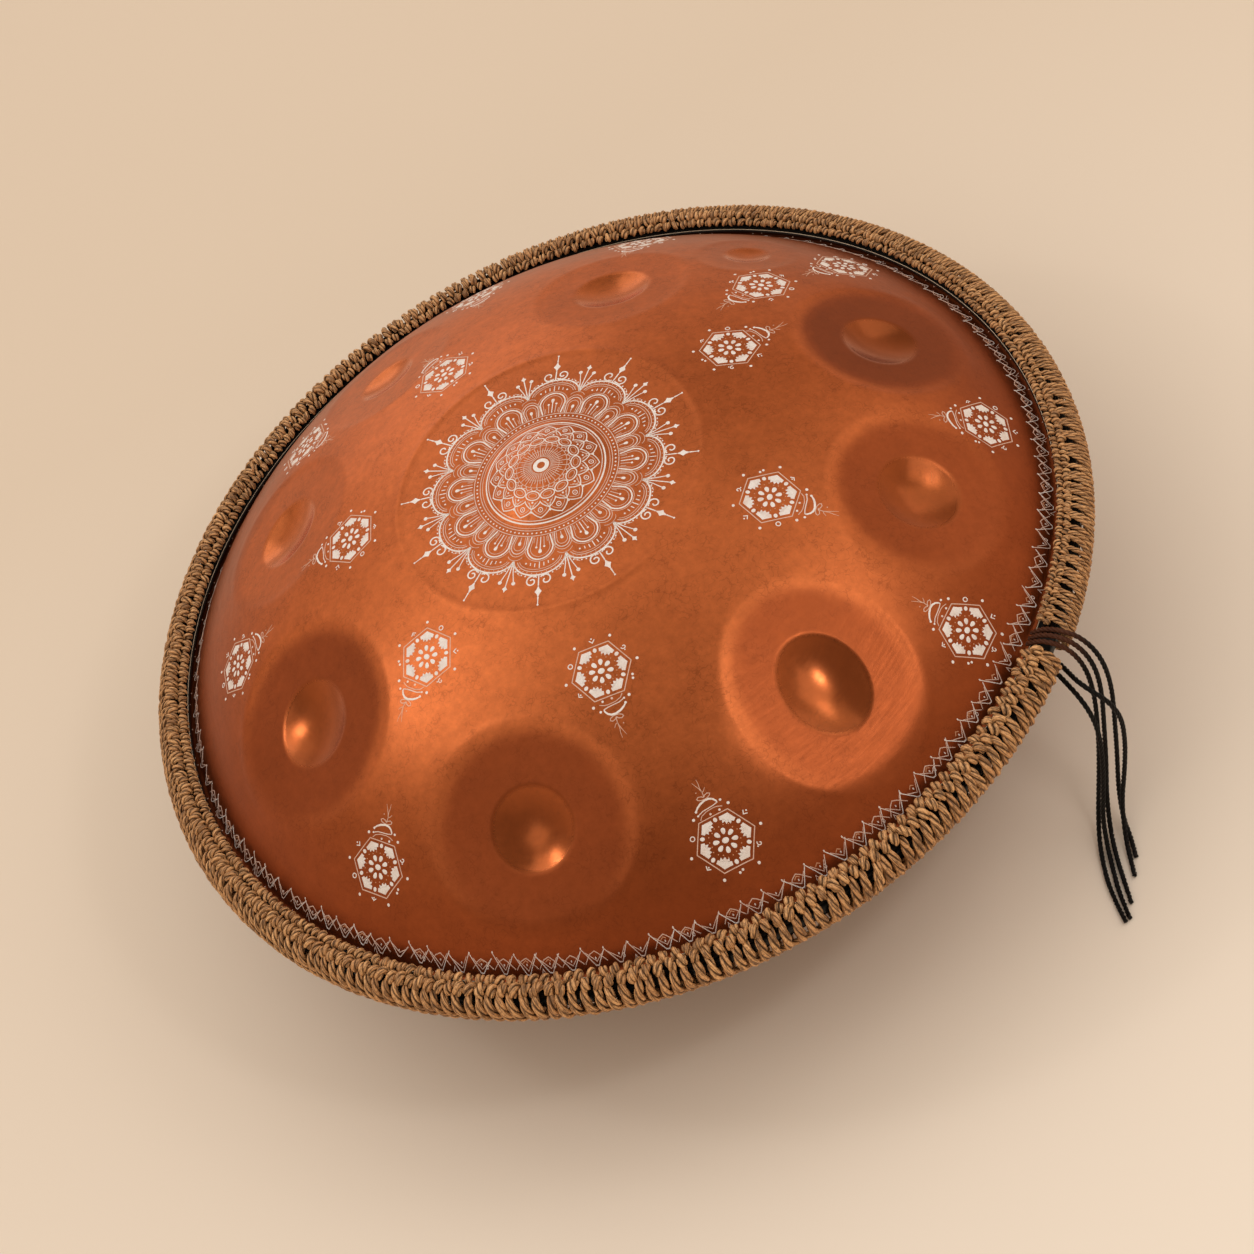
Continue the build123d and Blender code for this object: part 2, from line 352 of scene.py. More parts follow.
class Shader(Nodes):
    """A Principled material."""

    def __init__(self, name):
        self.material = bpy.data.materials.new(name)
        self.material.use_nodes = True
        super().__init__(self.material.node_tree)
        self.surface = self.tree.nodes["Principled BSDF"]

    def put(self, **inputs):
        """Set or feed the surface's sockets, named with _ for a space."""
        for key, value in inputs.items():
            self.join(value, self.surface.inputs[key.replace("_", " ")])
        return self.material

    def attribute(self, name, output="Fac"):
        return self.node("ShaderNodeAttribute", attribute_name=name).outputs[output]

    def stretch(self, vector, scale):
        return self.node("ShaderNodeMapping", {"Vector": vector, "Scale": scale}).outputs[0]

    def noise(self, vector, scale, detail=3.0, roughness=0.55):
        inputs = {"Vector": vector, "Scale": scale, "Detail": detail, "Roughness": roughness}
        return self.node("ShaderNodeTexNoise", inputs).outputs["Fac"]

    def mix(self, factor, a, b):
        return self.node("ShaderNodeMix", {0: factor, 6: a, 7: b}, data_type="RGBA").outputs[2]

    def bump(self, height, strength, distance, before=None):
        inputs = {"Height": height, "Strength": strength, "Distance": distance}
        if before is not None:
            inputs["Normal"] = before
        return self.node("ShaderNodeBump", inputs).outputs[0]

    def from_axis(self, xyz):
        """Distance from the pan's axis."""
        return self.math("SQRT", self.math("ADD", self.times(xyz[0], xyz[0]), self.times(xyz[1], xyz[1])))


def shell_steel():
    """Satin copper finish: brushed in arcs, lightly scuffed, browner in the tone fields, with painted shade
    where the tone goes past 1.
    """
    s = Shader("shell_steel")
    place = s.place()
    xyz = s.split(place)
    azimuth = s.math("ARCTAN2", xyz[1], xyz[0])
    arcs = {"X": s.times(s.from_axis(xyz), 900.0), "Y": s.times(azimuth, 12.0)}
    hairlines = s.noise(s.node("ShaderNodeCombineXYZ", arcs).outputs[0], 1.0, 2.0)
    cloud = s.noise(place, 9.0, 4.0, 0.6)
    mottle = s.noise(place, 60.0, 3.0, 0.6)
    scuffs = s.noise(place, 210.0, 4.0, 0.7)
    swirl = s.math("ABSOLUTE", s.math("SUBTRACT", s.noise(place, 250.0, 1.5), 0.5))
    curls = s.times(s.span(swirl, 0.0, 0.035, 1.0, 0.0), s.span(mottle, 0.4, 0.6))
    tone = s.attribute("tone")
    polish = s.attribute("polish")
    grime = (0.20, 0.045, 0.014)
    bright = s.mix(s.span(cloud, 0.35, 0.65), (0.65, 0.165, 0.047), (0.75, 0.196, 0.057))
    dark = s.mix(s.span(cloud, 0.35, 0.65), (0.34, 0.074, 0.020), (0.42, 0.095, 0.027))
    base = s.mix(tone, bright, dark)
    base = s.mix(s.span(mottle, 0.3, 0.7, 0.0, 0.16), base, (0.22, 0.05, 0.017))
    # Tone past 1 darkens towards near black: painted shade in the crevice by the trim and on the field at 3
    # degrees, and the darker bottom shell.
    base = s.mix(s.span(tone, 1.05, 2.0, 0.0, 0.85), base, (0.050, 0.015, 0.006))
    base = s.mix(s.span(scuffs, 0.35, 0.62, 0.0, 0.20), base, grime)
    base = s.mix(s.times(curls, 0.4), base, grime)
    base = s.mix(s.times(polish, 0.12), base, (0.95, 0.30, 0.09))
    satin = s.math("ADD", s.span(hairlines, 0.3, 0.7, 0.35, 0.41), s.span(cloud, 0.3, 0.7, -0.03, 0.03))
    coarse = s.span(polish, 0.0, 1.0, 1.0, 0.25)
    normal = s.bump(s.times(hairlines, coarse), 0.04, 0.0004)
    normal = s.bump(mottle, 0.04, 0.001, normal)
    normal = s.bump(s.times(scuffs, coarse), 0.09, 0.0003, normal)
    rough = s.math("SUBTRACT", satin, s.times(polish, 0.15))
    return s.put(Base_Color=base, Metallic=0.96, Roughness=rough, Normal=normal)


def trim_rubber():
    """Black extruded rubber with a faint grain, and a pale line painted along the bead's crown as a
    highlight.
    """
    s = Shader("trim_rubber")
    place = s.place()
    grain = s.noise(place, 900.0, 2.0)
    dust = s.noise(place, 40.0, 4.0)
    base = s.mix(s.span(dust, 0.4, 0.7), (0.010, 0.009, 0.008), (0.020, 0.017, 0.014))
    # The 'worn' stripe is a painted highlight: a pale line along the bead's crown.
    base = s.mix(s.span(s.attribute("worn"), 0.3, 0.8), base, (0.88, 0.68, 0.47))
    return s.put(Base_Color=base, Roughness=s.span(dust, 0.3, 0.7, 0.16, 0.24), Specular_IOR_Level=0.12,
                 Normal=s.bump(grain, 0.15, 0.0002))


def adhesive():
    """Cured glue, grey and slightly uneven."""
    s = Shader("adhesive")
    lumps = s.noise(s.place(), 120.0, 3.0)
    base = s.mix(lumps, (0.10, 0.095, 0.09), (0.16, 0.15, 0.14))
    return s.put(Base_Color=base, Roughness=0.6, Normal=s.bump(lumps, 0.3, 0.0005))


def twine(name, low, high, gloss=0.4):
    """Waxed plant-fibre twine; fibres run along each strand, and the grooves between plies are darkened as
    painted shade.
    """
    s = Shader(name)
    fibre = s.attribute("fibre", "Vector")
    fine = s.noise(s.stretch(fibre, (0.13, 1.0, 1.0)), 1150.0, 3.0, 0.7)
    patch = s.noise(fibre, 150.0, 3.0, 0.6)
    cloud = s.noise(s.place(), 14.0, 3.0)
    grain = s.noise(fibre, 900.0, 2.0, 0.6)
    tone = s.span(s.attribute("tone"), 0.0, 1.0, 0.0, 0.5)
    base = s.mix(s.math("ADD", s.span(patch, 0.25, 0.75, 0.0, 0.5), tone), low, high)
    base = s.mix(s.span(fine, 0.42, 0.52, 0.9, 0.0), base, [0.22 * c for c in low])
    base = s.mix(s.span(grain, 0.36, 0.50, 0.6, 0.0), base, [0.30 * c for c in low])
    base = s.mix(s.span(cloud, 0.3, 0.7, 0.0, 0.15), base, low)
    # Painted shade: near black deep in the grooves, fading out towards the bundle's surface.
    base = s.mix(s.span(s.attribute("groove"), 0.0, 0.7, 0.92, 0.0), base, [0.12 * c for c in low])
    return s.put(Base_Color=base, Roughness=0.52, Normal=s.bump(fine, 0.6, 0.0005), Specular_IOR_Level=gloss)


def tie_cord():
    """Waxed cord, nearly black, brown where it crosses the rim."""
    s = Shader("tie_cord")
    place = s.place()
    xyz = s.split(place)
    worn = s.noise(place, 300.0, 4.0)
    fine = s.noise(s.stretch(s.attribute("fibre", "Vector"), (0.3, 1.0, 1.0)), 2400.0, 2.0)
    brown = s.mix(worn, (0.040, 0.011, 0.005), (0.095, 0.030, 0.012))
    black = s.mix(worn, (0.0022, 0.0018, 0.0016), (0.006, 0.0045, 0.0036))
    on_rim = s.times(s.span(xyz[2], 0.112, 0.124), s.span(s.from_axis(xyz), 0.296, 0.284))
    return s.put(Base_Color=s.mix(on_rim, black, brown), Roughness=0.42, Specular_IOR_Level=0.16,
                 Normal=s.bump(fine, 0.35, 0.0002))


steel = shell_steel()
rubber = trim_rubber()
glue = adhesive()
rope_twine = twine("twine", (0.47, 0.200, 0.068), (0.90, 0.490, 0.205))
# The core cords are nearly black: dark cord, made darker still as painted shade for the gaps between the
# turns.
core_twine = twine("core_twine", (0.030, 0.012, 0.004), (0.060, 0.026, 0.009), 0.12)
cord_black = tie_cord()

# ---- loose tie ends ----
# route points: distance from the axis in metres, azimuth in degrees, height in metres
tie_routes = {
    "tie_end_1": [
        (0.2606, -45.85, 0.1246), (0.2670, -45.85, 0.1300), (0.2790, -45.95, 0.1320),
        (0.2910, -46.0, 0.1275), (0.2995, -46.5, 0.1150), (0.3020, -47.4, 0.0960),
        (0.2990, -48.5, 0.0710), (0.2960, -49.7, 0.0460), (0.2930, -51.2, 0.0210),
        (0.2955, -52.9, 0.0045), (0.3040, -54.6, 0.0015), (0.3120, -56.4, 0.0015),
    ],
    "tie_end_2": [
        (0.2606, -46.65, 0.1246), (0.2670, -46.65, 0.1300), (0.2790, -46.7, 0.1315),
        (0.2895, -46.8, 0.1260), (0.2965, -47.3, 0.1130), (0.2975, -48.2, 0.0950),
        (0.2945, -49.5, 0.0700), (0.2915, -50.8, 0.0450), (0.2885, -52.4, 0.0210),
        (0.2910, -54.4, 0.0050), (0.3010, -57.0, 0.0015), (0.3140, -59.4, 0.0015),
        (0.3250, -61.2, 0.0015),
    ],
    "tie_end_3": [
        (0.2606, -47.42, 0.1246), (0.2670, -47.42, 0.1295), (0.2780, -47.4, 0.1295),
        (0.2865, -47.3, 0.1225), (0.2915, -47.6, 0.1090), (0.2925, -48.4, 0.0910),
        (0.2900, -49.6, 0.0660), (0.2870, -51.1, 0.0420), (0.2840, -52.9, 0.0190),
        (0.2865, -55.5, 0.0045), (0.2975, -58.6, 0.0015), (0.3125, -61.3, 0.0015),
        (0.3290, -63.2, 0.0015),
    ],
    "tie_end_4": [
        (0.2620, -47.1, 0.1108), (0.2680, -47.3, 0.1045), (0.2770, -48.3, 0.0995),
        (0.2865, -49.6, 0.0995), (0.2940, -50.5, 0.0925), (0.2970, -51.1, 0.0780),
        (0.2955, -52.0, 0.0570), (0.2925, -53.1, 0.0360), (0.2900, -54.5, 0.0170),
        (0.2935, -56.2, 0.0045), (0.3030, -58.4, 0.0015), (0.3160, -60.9, 0.0015),
        (0.3300, -62.7, 0.0015),
    ],
    "tie_end_5": [
        (0.2620, -45.9, 0.1112), (0.2680, -46.2, 0.1060), (0.2780, -47.5, 0.1050),
        (0.2880, -49.0, 0.1075), (0.2975, -49.7, 0.1060), (0.3050, -49.6, 0.0980),
        (0.3085, -49.5, 0.0830), (0.3065, -50.1, 0.0630), (0.3020, -51.0, 0.0410),
        (0.2980, -52.6, 0.0200), (0.3020, -54.9, 0.0045), (0.3100, -56.9, 0.0015),
        (0.3175, -58.4, 0.0015),
    ],
}
tie_lengths = {
    "tie_end_1": 0.1885, "tie_end_2": 0.2107, "tie_end_3": 0.2096, "tie_end_4": 0.1866, "tie_end_5": 0.1780,
}


def route_curve(name, route):
    """A tie's route as a smooth curve."""
    data = bpy.data.curves.new(name + "_route", "CURVE")
    data.dimensions = "3D"
    data.resolution_u = 12
    spline = data.splines.new("NURBS")
    spline.points.add(len(route) - 1)
    for point, (r, azimuth, height) in zip(spline.points, route):
        a = radians(azimuth)
        point.co = (r * cos(a), r * sin(a), height, 1)
    spline.order_u = 3
    spline.use_endpoint_u = True
    return data


def route_points(name, route):
    """Points along a route, read from its curve."""
    holder = link(name + "_route", route_curve(name, route))
    line = bpy.data.meshes.new_from_object(holder)
    points = np.array([vertex.co for vertex in line.vertices])
    bpy.data.objects.remove(holder)
    return points


def make_tie(name, route, length):
    """A limp cord of three plies, cut bare at its end."""
    points = route_points(name, route)
    radius = np.full((1, len(points)), tie_diameter / 2)
    ply = np.full((1, len(points)), tie_ply)
    lean = np.array([0.31, 0.95, 0.05])
    tints = np.arange(3)[:, None] * 0.1
    mesh = bundle_mesh(name + "_cord", points[None], lean, radius, ply, tie_lay, 0.0, [1, 1, 1], tints, 10)
    piece = add_piece(name + "_cord", mesh, cord_black, name)


for tie_name, tie_route in tie_routes.items():
    make_tie(tie_name, tie_route, tie_lengths[tie_name])


# ---- the dome's surface ----
def soft_min(a, b, width):
    """The lower of two heights, with the corner rounded over that width."""
    share = np.clip(0.5 + 0.5 * (b - a) / width, 0, 1)
    return b + (a - b) * share - width * share * (1 - share)


def soft_max(a, b, width):
    return -soft_min(-a, -b, width)


def dome_drop(r):
    """How far the plain dome lies under its crown."""
    return top_semi * (1 - np.sqrt(1 - (r / ellipse_radius) ** 2))


def ring_angles(r, spacing):
    """Even angles round a circle, staggered from one circle to the next."""
    count = max(6, round(2 * pi * r / spacing))
    return (np.arange(count) + 0.5 * (round(r / MM) % 2)) * 2 * pi / count


class Note:
    """A flattened tone field, round or oval, with a dimple in its middle."""

    def __init__(self, azimuth, distance, field, dimple, shade, oval=1.0, turn=0.0):
        share = distance / ellipse_radius
        rise = sqrt(1 - share ** 2)
        stretch = sqrt((ellipse_radius * rise) ** 2 + (top_semi * share) ** 2)
        bend_along = stretch ** 3 / (ellipse_radius * top_semi)
        bend_around = ellipse_radius * stretch / top_semi
        sink = field ** 2 / (2 * sqrt(bend_along * bend_around))
        out_r = top_semi * share / stretch
        out_z = ellipse_radius * rise / stretch
        a = radians(azimuth)
        r = distance - sink * out_r
        height = crown_rise - dome_drop(distance) - sink * out_z
        self.middle = np.array([r * cos(a), r * sin(a), rim_z + height])
        self.out = np.array([out_r * cos(a), out_r * sin(a), out_z])
        self.side = np.array([-sin(a), cos(a), 0])
        self.up = np.cross(self.out, self.side)
        self.sink = sink
        self.field = field
        self.dimple = dimple
        self.shade = shade
        turn = radians(turn)
        self.long = (cos(turn) * -self.up + sin(turn) * self.side) / sqrt(oval)
        self.wide = (sin(turn) * self.up + cos(turn) * self.side) * sqrt(oval)
        depth = dimple_share * dimple
        self.ball = (dimple ** 2 + depth ** 2) / (2 * depth)
        self.ball_rise = self.ball - depth

    def plane_height(self, x, y):
        """Height of the field's plane over a plan point."""
        slope = self.out[0] * (x - self.middle[0]) + self.out[1] * (y - self.middle[1])
        height = self.middle[2] - slope / self.out[2]
        offset = np.stack([x, y, height], -1) - self.middle
        round_share = np.sum(offset ** 2, -1) / self.field ** 2
        oval_share = (self.distance(offset + self.middle) / self.field) ** 2
        return height + self.sink * np.clip(oval_share - round_share, -1, 1)

    def distance(self, points):
        """Distance of points from the field's own axis, evened out for an oval field."""
        offset = points - self.middle
        return np.hypot(offset @ self.long, offset @ self.wide)

    def dent(self, distance):
        """How deep the dimple is at a distance from its middle."""
        bowl = np.sqrt(np.maximum(self.ball ** 2 - distance ** 2, 0)) - self.ball_rise
        return soft_max(bowl, 0 * bowl, soft_edge)

    def ring(self, distance, spacing):
        """Plan points on a circle round the note."""
        angle = ring_angles(distance, spacing)[:, None]
        along_it = np.cos(angle) * self.long / np.sum(self.long ** 2)
        across_it = np.sin(angle) * self.wide / np.sum(self.wide ** 2)
        return (self.middle + distance * (along_it + across_it))[:, :2]


tone_notes = [Note(*note) for note in notes]

field_height = crown_rise - ding_field_drop
field_sag = dome_drop(ding_field_radius) - ding_field_drop
field_ball = (ding_field_radius ** 2 + field_sag ** 2) / (2 * field_sag)
ding_ball = (ding_radius ** 2 + ding_rise ** 2) / (2 * ding_rise)


def bend(start, corner, end, steps=5):
    """Profile points of a rounded corner between two points."""
    share = np.linspace(0, 1, steps)[:, None]
    start, corner, end = (np.array(p) for p in (start, corner, end))
    return ((1 - share) ** 2 * start + 2 * share * (1 - share) * corner + share ** 2 * end).tolist()


def arc(r, z, radius, start, end, steps):
    """Profile points round a centre, between two angles in degrees."""
    return [(r + radius * cos(a), z + radius * sin(a)) for a in np.radians(np.linspace(start, end, steps))]


dome_foot = dome_radius + 0.3 * MM
flange_edge = [
    (flange_radius - nick, flange_high), (flange_radius, flange_high - nick),
    (flange_radius, flange_low + nick), (flange_radius - nick, flange_low), (flange_inner, flange_low),
]
foot_bend = bend((dome_foot, crown_rise - dome_drop(dome_foot)), (257.6 * MM, flange_high),
                 (259.6 * MM, flange_high), 7)
lip = foot_bend + flange_edge[:2]


def ridge(distance, height, width):
    """A low swelled ring where the distance is 0."""
    return height * np.exp(-(distance / width) ** 2)


def dome_points(x, y):
    """Points on the top shell's outer face, out to its flange, over plan points."""
    r = np.hypot(x, y)
    height = crown_rise - dome_drop(r)
    flat = field_height - field_ball + np.sqrt(field_ball ** 2 - r ** 2)
    height = soft_min(height, flat, soft_edge) + ridge(r - ding_field_radius, 0.5 * MM, 2.4 * MM)
    reach = np.minimum(r, 0.9 * ding_ball)
    ding = ding_top - ding_ball + np.sqrt(ding_ball ** 2 - reach ** 2) - 3 * (r - reach)
    height = soft_max(height, ding, 1.0 * MM) + rim_z
    for note in tone_notes:
        height = soft_min(height, note.plane_height(x, y), soft_edge)
    on_lip = np.interp(r, *zip(*lip)) + rim_z
    points = np.stack([x, y, np.where(r < dome_foot, height, on_lip)], -1)
    shift = np.zeros_like(points)
    for note in tone_notes:
        distance = note.distance(points)
        swell = ridge(distance - note.field, 0.25 * MM, 2.8 * MM)
        shift = shift + (swell - note.dent(distance))[..., None] * note.out
    return points + shift


def dome_normals(x, y):
    """Unit normals of the top shell's outer face."""
    step = 0.05 * MM
    along_x = dome_points(x + step, y) - dome_points(x - step, y)
    along_y = dome_points(x, y + step) - dome_points(x, y - step)
    return unit(np.cross(along_x, along_y))


def dome_tone(points):
    """0 on the plain dome, 1 in the brown tone fields and by the rim, 2 in the crevice by the trim, where it
    stands for painted shade.
    """
    r = np.hypot(points[:, 0], points[:, 1])
    tone = 0.07 * smooth_step(r, 86 * MM, 92 * MM) + 0.93 * smooth_step(r, 165 * MM, 250 * MM)
    for note in tone_notes:
        # Inside a field its own value takes over: painted reflection on the light far fields, painted shade
        # on the field at 3 degrees.
        inside = 1 - smooth_step(note.distance(points), note.field - 12 * MM, note.field - 2 * MM)
        tone = tone + inside * (note.shade - tone)
    # The rise to 2 over the shell's foot and flange paints the crevice's shade under the trim and the rope.
    return tone + smooth_step(r, 257 * MM, 261.5 * MM)


def dome_polish(points):
    """1 in the dimples, which are smoother than the rest, fading out at their edges."""
    polish = np.zeros(len(points))
    for note in tone_notes:
        distance = note.distance(points)
        polish = np.maximum(polish, 1 - smooth_step(distance, note.dimple - 2 * MM, note.dimple + 2 * MM))
    return polish


class PointSet:
    """Plan points that keep apart; the first ones asked for win."""

    def __init__(self):
        self.cells = {}
        self.points = []

    def add(self, points, spacing):
        cell = 2 * MM
        least = (0.48 * spacing) ** 2
        for x, y in points.tolist():
            i, j = int(x // cell), int(y // cell)
            around = [(a, b) for a in (i - 1, i, i + 1) for b in (j - 1, j, j + 1)]
            near = [point for key in around for point in self.cells.get(key, ())]
            if all((x - px) ** 2 + (y - py) ** 2 > least for px, py in near):
                self.cells.setdefault((i, j), []).append((x, y))
                self.points.append((x, y))


def plan_ring(r, spacing):
    """Plan points on a circle round the pan's axis."""
    return r * circle(ring_angles(r, spacing))


def plan_points(edge_angles):
    """Plan points for the dome: dense at dimples' and fields' edges, even elsewhere."""
    found = PointSet()
    found.add(dome_radius * circle(edge_angles), 1 * MM)
    inside = dome_radius - 3 * MM
    for note in tone_notes:
        for offset in (0, -0.35, 0.35, -0.7, 0.7, -1.2, 1.2, -2.0, 2.0, -3.0, 3.0):
            found.add(note.ring(note.dimple + offset * MM, 1.3 * MM), 0.7 * MM)
        for offset in (-9, -6, -4, -2, 0, 2, 4, 6, 9):
            ring = note.ring(note.field + offset * MM, 3 * MM)
            found.add(ring[np.hypot(*ring.T) < inside], 2 * MM)
    for offset in (0, -0.8, 0.8, -1.6, 1.6, -2.6, 2.6):
        found.add(plan_ring(ding_radius + offset * MM, 1.6 * MM), 0.9 * MM)
    for offset in (-8, -5, -3, -1.5, 0, 1.5, 3, 5, 8):
        found.add(plan_ring(ding_field_radius + offset * MM, 3 * MM), 1.6 * MM)
    for r in np.arange(2.0, inside / MM, 3.6) * MM:
        found.add(plan_ring(r, 4 * MM), 3.4 * MM)
    return np.array(found.points)


# ---- shells and trim ----
def make_top_shell(edge_steps=384):
    """Hammered dome with its flange and inner face, as one closed mesh."""
    azimuth = np.arange(edge_steps) * 2 * pi / edge_steps
    plan = plan_points(azimuth)
    flat, _, triangles, _, _, _ = delaunay_2d_cdt([Vector(p) for p in plan], [], [], 0, 1e-7)
    outer = dome_points(*np.array(flat).T)
    triangles = np.array([t for t in triangles if len(t) == 3])

    rings = [dome_points(*(dome_radius * circle(azimuth)).T)]
    rings += [polar(azimuth, r, z + rim_z) for r, z in foot_bend + flange_edge]
    inner_rings = np.append(np.arange(254.6, 6, -5.2), 5.0) * MM
    for r in inner_rings:
        x, y = (r * circle(azimuth)).T
        rings.append(dome_points(x, y) - sheet * dome_normals(x, y))
    rings = np.array(rings)
    index = np.arange(rings.shape[0] * edge_steps).reshape(rings.shape[:2]) + len(outer)
    quads = quads_between(index[:-1], index[1:])
    hub = index[-1][None, ::-1]

    points = np.concatenate([outer, rings.reshape(-1, 3)])
    mesh = build_mesh("top_shell_dome", points, triangles, quads, hub, tone=dome_tone(points),
                      polish=dome_polish(points))
    finish_faces(mesh, 50, weld=True)
    add_piece("top_shell_dome", mesh, steel, "top_shell")


def make_bottom_shell(tone=1.6):
    """Plain dome, darker than the top one, with a flat land and the port's neck turned inward."""
    ground = -rim_z
    neck_end = ground + neck_length
    bend_r = port_radius + port_bend
    foot = dome_radius + 0.6 * MM

    def outer_z(r, skin):
        start = -foot_height - bottom_semi * edge_share + bottom_semi
        return start - (bottom_semi - skin) * sqrt(1 - (r / (ellipse_radius - skin)) ** 2)

    profile = [(r, -z) for r, z in flange_edge[::-1]]
    profile += bend((259.3 * MM, -flange_high), (257.7 * MM, -flange_high), (foot, outer_z(foot, 0)))
    profile += [(r, outer_z(r, 0)) for r in np.linspace(dome_radius, land_radius + 2 * MM, 48)]
    profile += [(land_radius, ground), (bend_r + 4 * MM, ground)]
    profile += arc(bend_r, ground + port_bend, port_bend, 270, 180, 8)
    profile += [(port_radius, neck_end - nick), (port_radius + 0.3 * MM, neck_end)]
    profile += [(port_radius + sheet - 0.3 * MM, neck_end), (port_radius + sheet, neck_end - nick)]
    profile += arc(bend_r, ground + port_bend, port_bend - sheet, 180, 270, 6)
    profile += [(land_radius, ground + sheet)]
    profile += [(r, outer_z(r, sheet)) for r in np.linspace(land_radius + 3 * MM, 254.4 * MM, 40)]
    mesh = turned_mesh("bottom_shell_dome", profile)
    set_attribute(mesh, "tone", np.full(len(mesh.vertices), tone))
    finish_faces(mesh, 40)
    add_piece("bottom_shell_dome", mesh, steel, "bottom_shell")


def make_trim(corner=1.2 * MM):
    """Rubber channel over both flanges, with a round bead on each lip."""
    high = flange_high + trim_wall
    bead_z = flange_high + 0.1 * MM + trim_bead
    upper = [(flange_radius + 0.2 * MM, flange_high), (trim_inner + 0.2 * MM, flange_high)]
    upper += arc(trim_inner, bead_z, trim_bead, -75, -285, 15)
    upper += [(trim_inner + trim_bead * 0.96, bead_z + 0.4 * MM), (trim_inner + trim_bead + 0.3 * MM, high)]
    upper += bend((trim_outer - corner, high), (trim_outer, high), (trim_outer, high - corner))
    mesh = turned_mesh("edge_trim_channel", upper + [(r, -z) for r, z in upper[::-1]])
    place = np.empty(len(mesh.vertices) * 3)
    mesh.vertices.foreach_get("co", place)
    x, y, z = place.reshape(-1, 3).T
    # A painted highlight line along the top bead's crown, kept in the 'worn' attribute.
    crown = np.abs(np.hypot(x, y) - trim_inner + 0.3 * MM) < 0.24 * MM
    set_attribute(mesh, "worn", (crown & (z > rim_z + bead_z)).astype(float))
    finish_faces(mesh, 60)
    add_piece("edge_trim_channel", mesh, rubber, "edge_trim")


make_top_shell()
make_bottom_shell()
make_trim()

# ---- ornament ----
line_root = -0.04 * MM          # how far the lines' edges sit in the shell
line_top = 0.08 * MM            # how far their flat tops stand proud
line_flat = 0.75                # share of a line's width that is flat
patch_flat = 0.84               # the same for a filled patch
patch_inner = 0.4               # size of a second ring of points in a patch
white, peach, faint = 1.0, 0.45, 0.15


class Ornament:
    """Pale raised lines and dots on the dome, drawn in millimetres in a turned flat frame."""

    def __init__(self):
        self.plan, self.lift, self.tone = [], [], []
        self.quads, self.triangles = [], []
        self.count = 0

    def aim(self, r, azimuth, facing, squeeze=1.0):
        """Put the drawing frame at a place of the dome; its second axis points to facing."""
        a, f = radians(azimuth), radians(facing)
        self.origin = r * np.array([cos(a), sin(a)])
        self.axes = MM * np.array([[sin(f), -cos(f)], [squeeze * cos(f), squeeze * sin(f)]])

    def around(self, count, phase, offset=0.0):
        """Turn the frame on the pan's axis to each of some evenly spaced directions."""
        for k in range(count):
            self.aim(0, 0, phase + 360 / count * (k + offset))
            yield k

    def keep(self, rails, lifts, tone):
        """Store points given in the drawing frame; returns their numbers."""
        index = self.count + np.arange(rails.size // 2).reshape(rails.shape[:-1])
        self.count += index.size
        self.plan.append((rails @ self.axes + self.origin).reshape(-1, 2))
        self.lift.append(np.broadcast_to(lifts, index.shape).ravel())
        self.tone.append(np.full(index.size, tone))
        return index

    def line(self, points, width, tone=white, closed=False):
        """A ribbon along points, mitred at its corners; width is one size or one per point."""
        points = np.asarray(points, float)
        half = np.broadcast_to(np.asarray(width, float) / 2, len(points))
        if closed:
            points = np.concatenate([points, points[:1]])
            half = np.append(half, half[0])
        points, half = finer(points, half, 1.6)
        step = unit(np.diff(points, axis=0))
        ahead = np.concatenate([step, step[:1] if closed else step[-1:]])
        behind = np.concatenate([step[-1:] if closed else step[:1], step])
        mitre = (ahead + behind) / np.maximum(1 + np.sum(ahead * behind, -1), 0.5)[:, None]
        side = np.stack([-mitre[:, 1], mitre[:, 0]], -1) * half[:, None]
        rails = points[:, None] + np.array([-1, -line_flat, line_flat, 1])[:, None] * side[:, None]
        index = self.keep(rails, np.array([line_root, line_top, line_top, line_root]), tone)
        self.quads.append(quads_between(index[:-1], index[1:], closed=False))

    def shape(self, outline, tone=white):
        """A filled patch with a bevelled edge, seen whole from its middle."""
        outline = np.asarray(outline, float)
        after = np.roll(outline, -1, 0)
        if np.sum(outline[:, 0] * after[:, 1] - after[:, 0] * outline[:, 1]) < 0:
            outline = outline[::-1]
        middle = outline.mean(0)
        reach = outline - middle
        rails = np.stack([outline, middle + patch_flat * reach, middle + patch_inner * reach])
        index = self.keep(rails, np.array([[line_root], [line_top], [line_top]]), tone)
        hub = self.keep(middle[None], line_top, tone)
        self.quads.append(np.roll(quads_between(index[1:], index[:-1]), -1, 1))
        inner = index[-1]
        self.triangles.append(np.stack([inner, np.roll(inner, -1), np.broadcast_to(hub, inner.shape)], -1))

    def dot(self, u, v, radius, tone=white):
        self.shape(oval(u, v, radius, radius, 10), tone)

    def pair(self, points, width, tone=white):
        """A line and its mirror image."""
        self.line(points, width, tone)
        self.line(mirrored(points), width, tone)

    def dots(self, *places):
        """Dots, each given by its place and radius, and by its tone if that isn't white."""
        for place in places:
            self.dot(*place)

    def ring(self, u, v, radius, width, tone=white, steps=14):
        self.line(oval(u, v, radius, radius, steps), width, tone, closed=True)

    def finish(self, name, material):
        """Lay everything on the dome as one piece."""
        x, y = np.concatenate(self.plan).T
        points = dome_points(x, y) + np.concatenate(self.lift)[:, None] * dome_normals(x, y)
        mesh = build_mesh(name, points, np.concatenate(self.quads), np.concatenate(self.triangles),
                          tone=np.concatenate(self.tone))
        mesh.set_sharp_from_angle(angle=radians(30))
        add_piece(name, mesh, material)


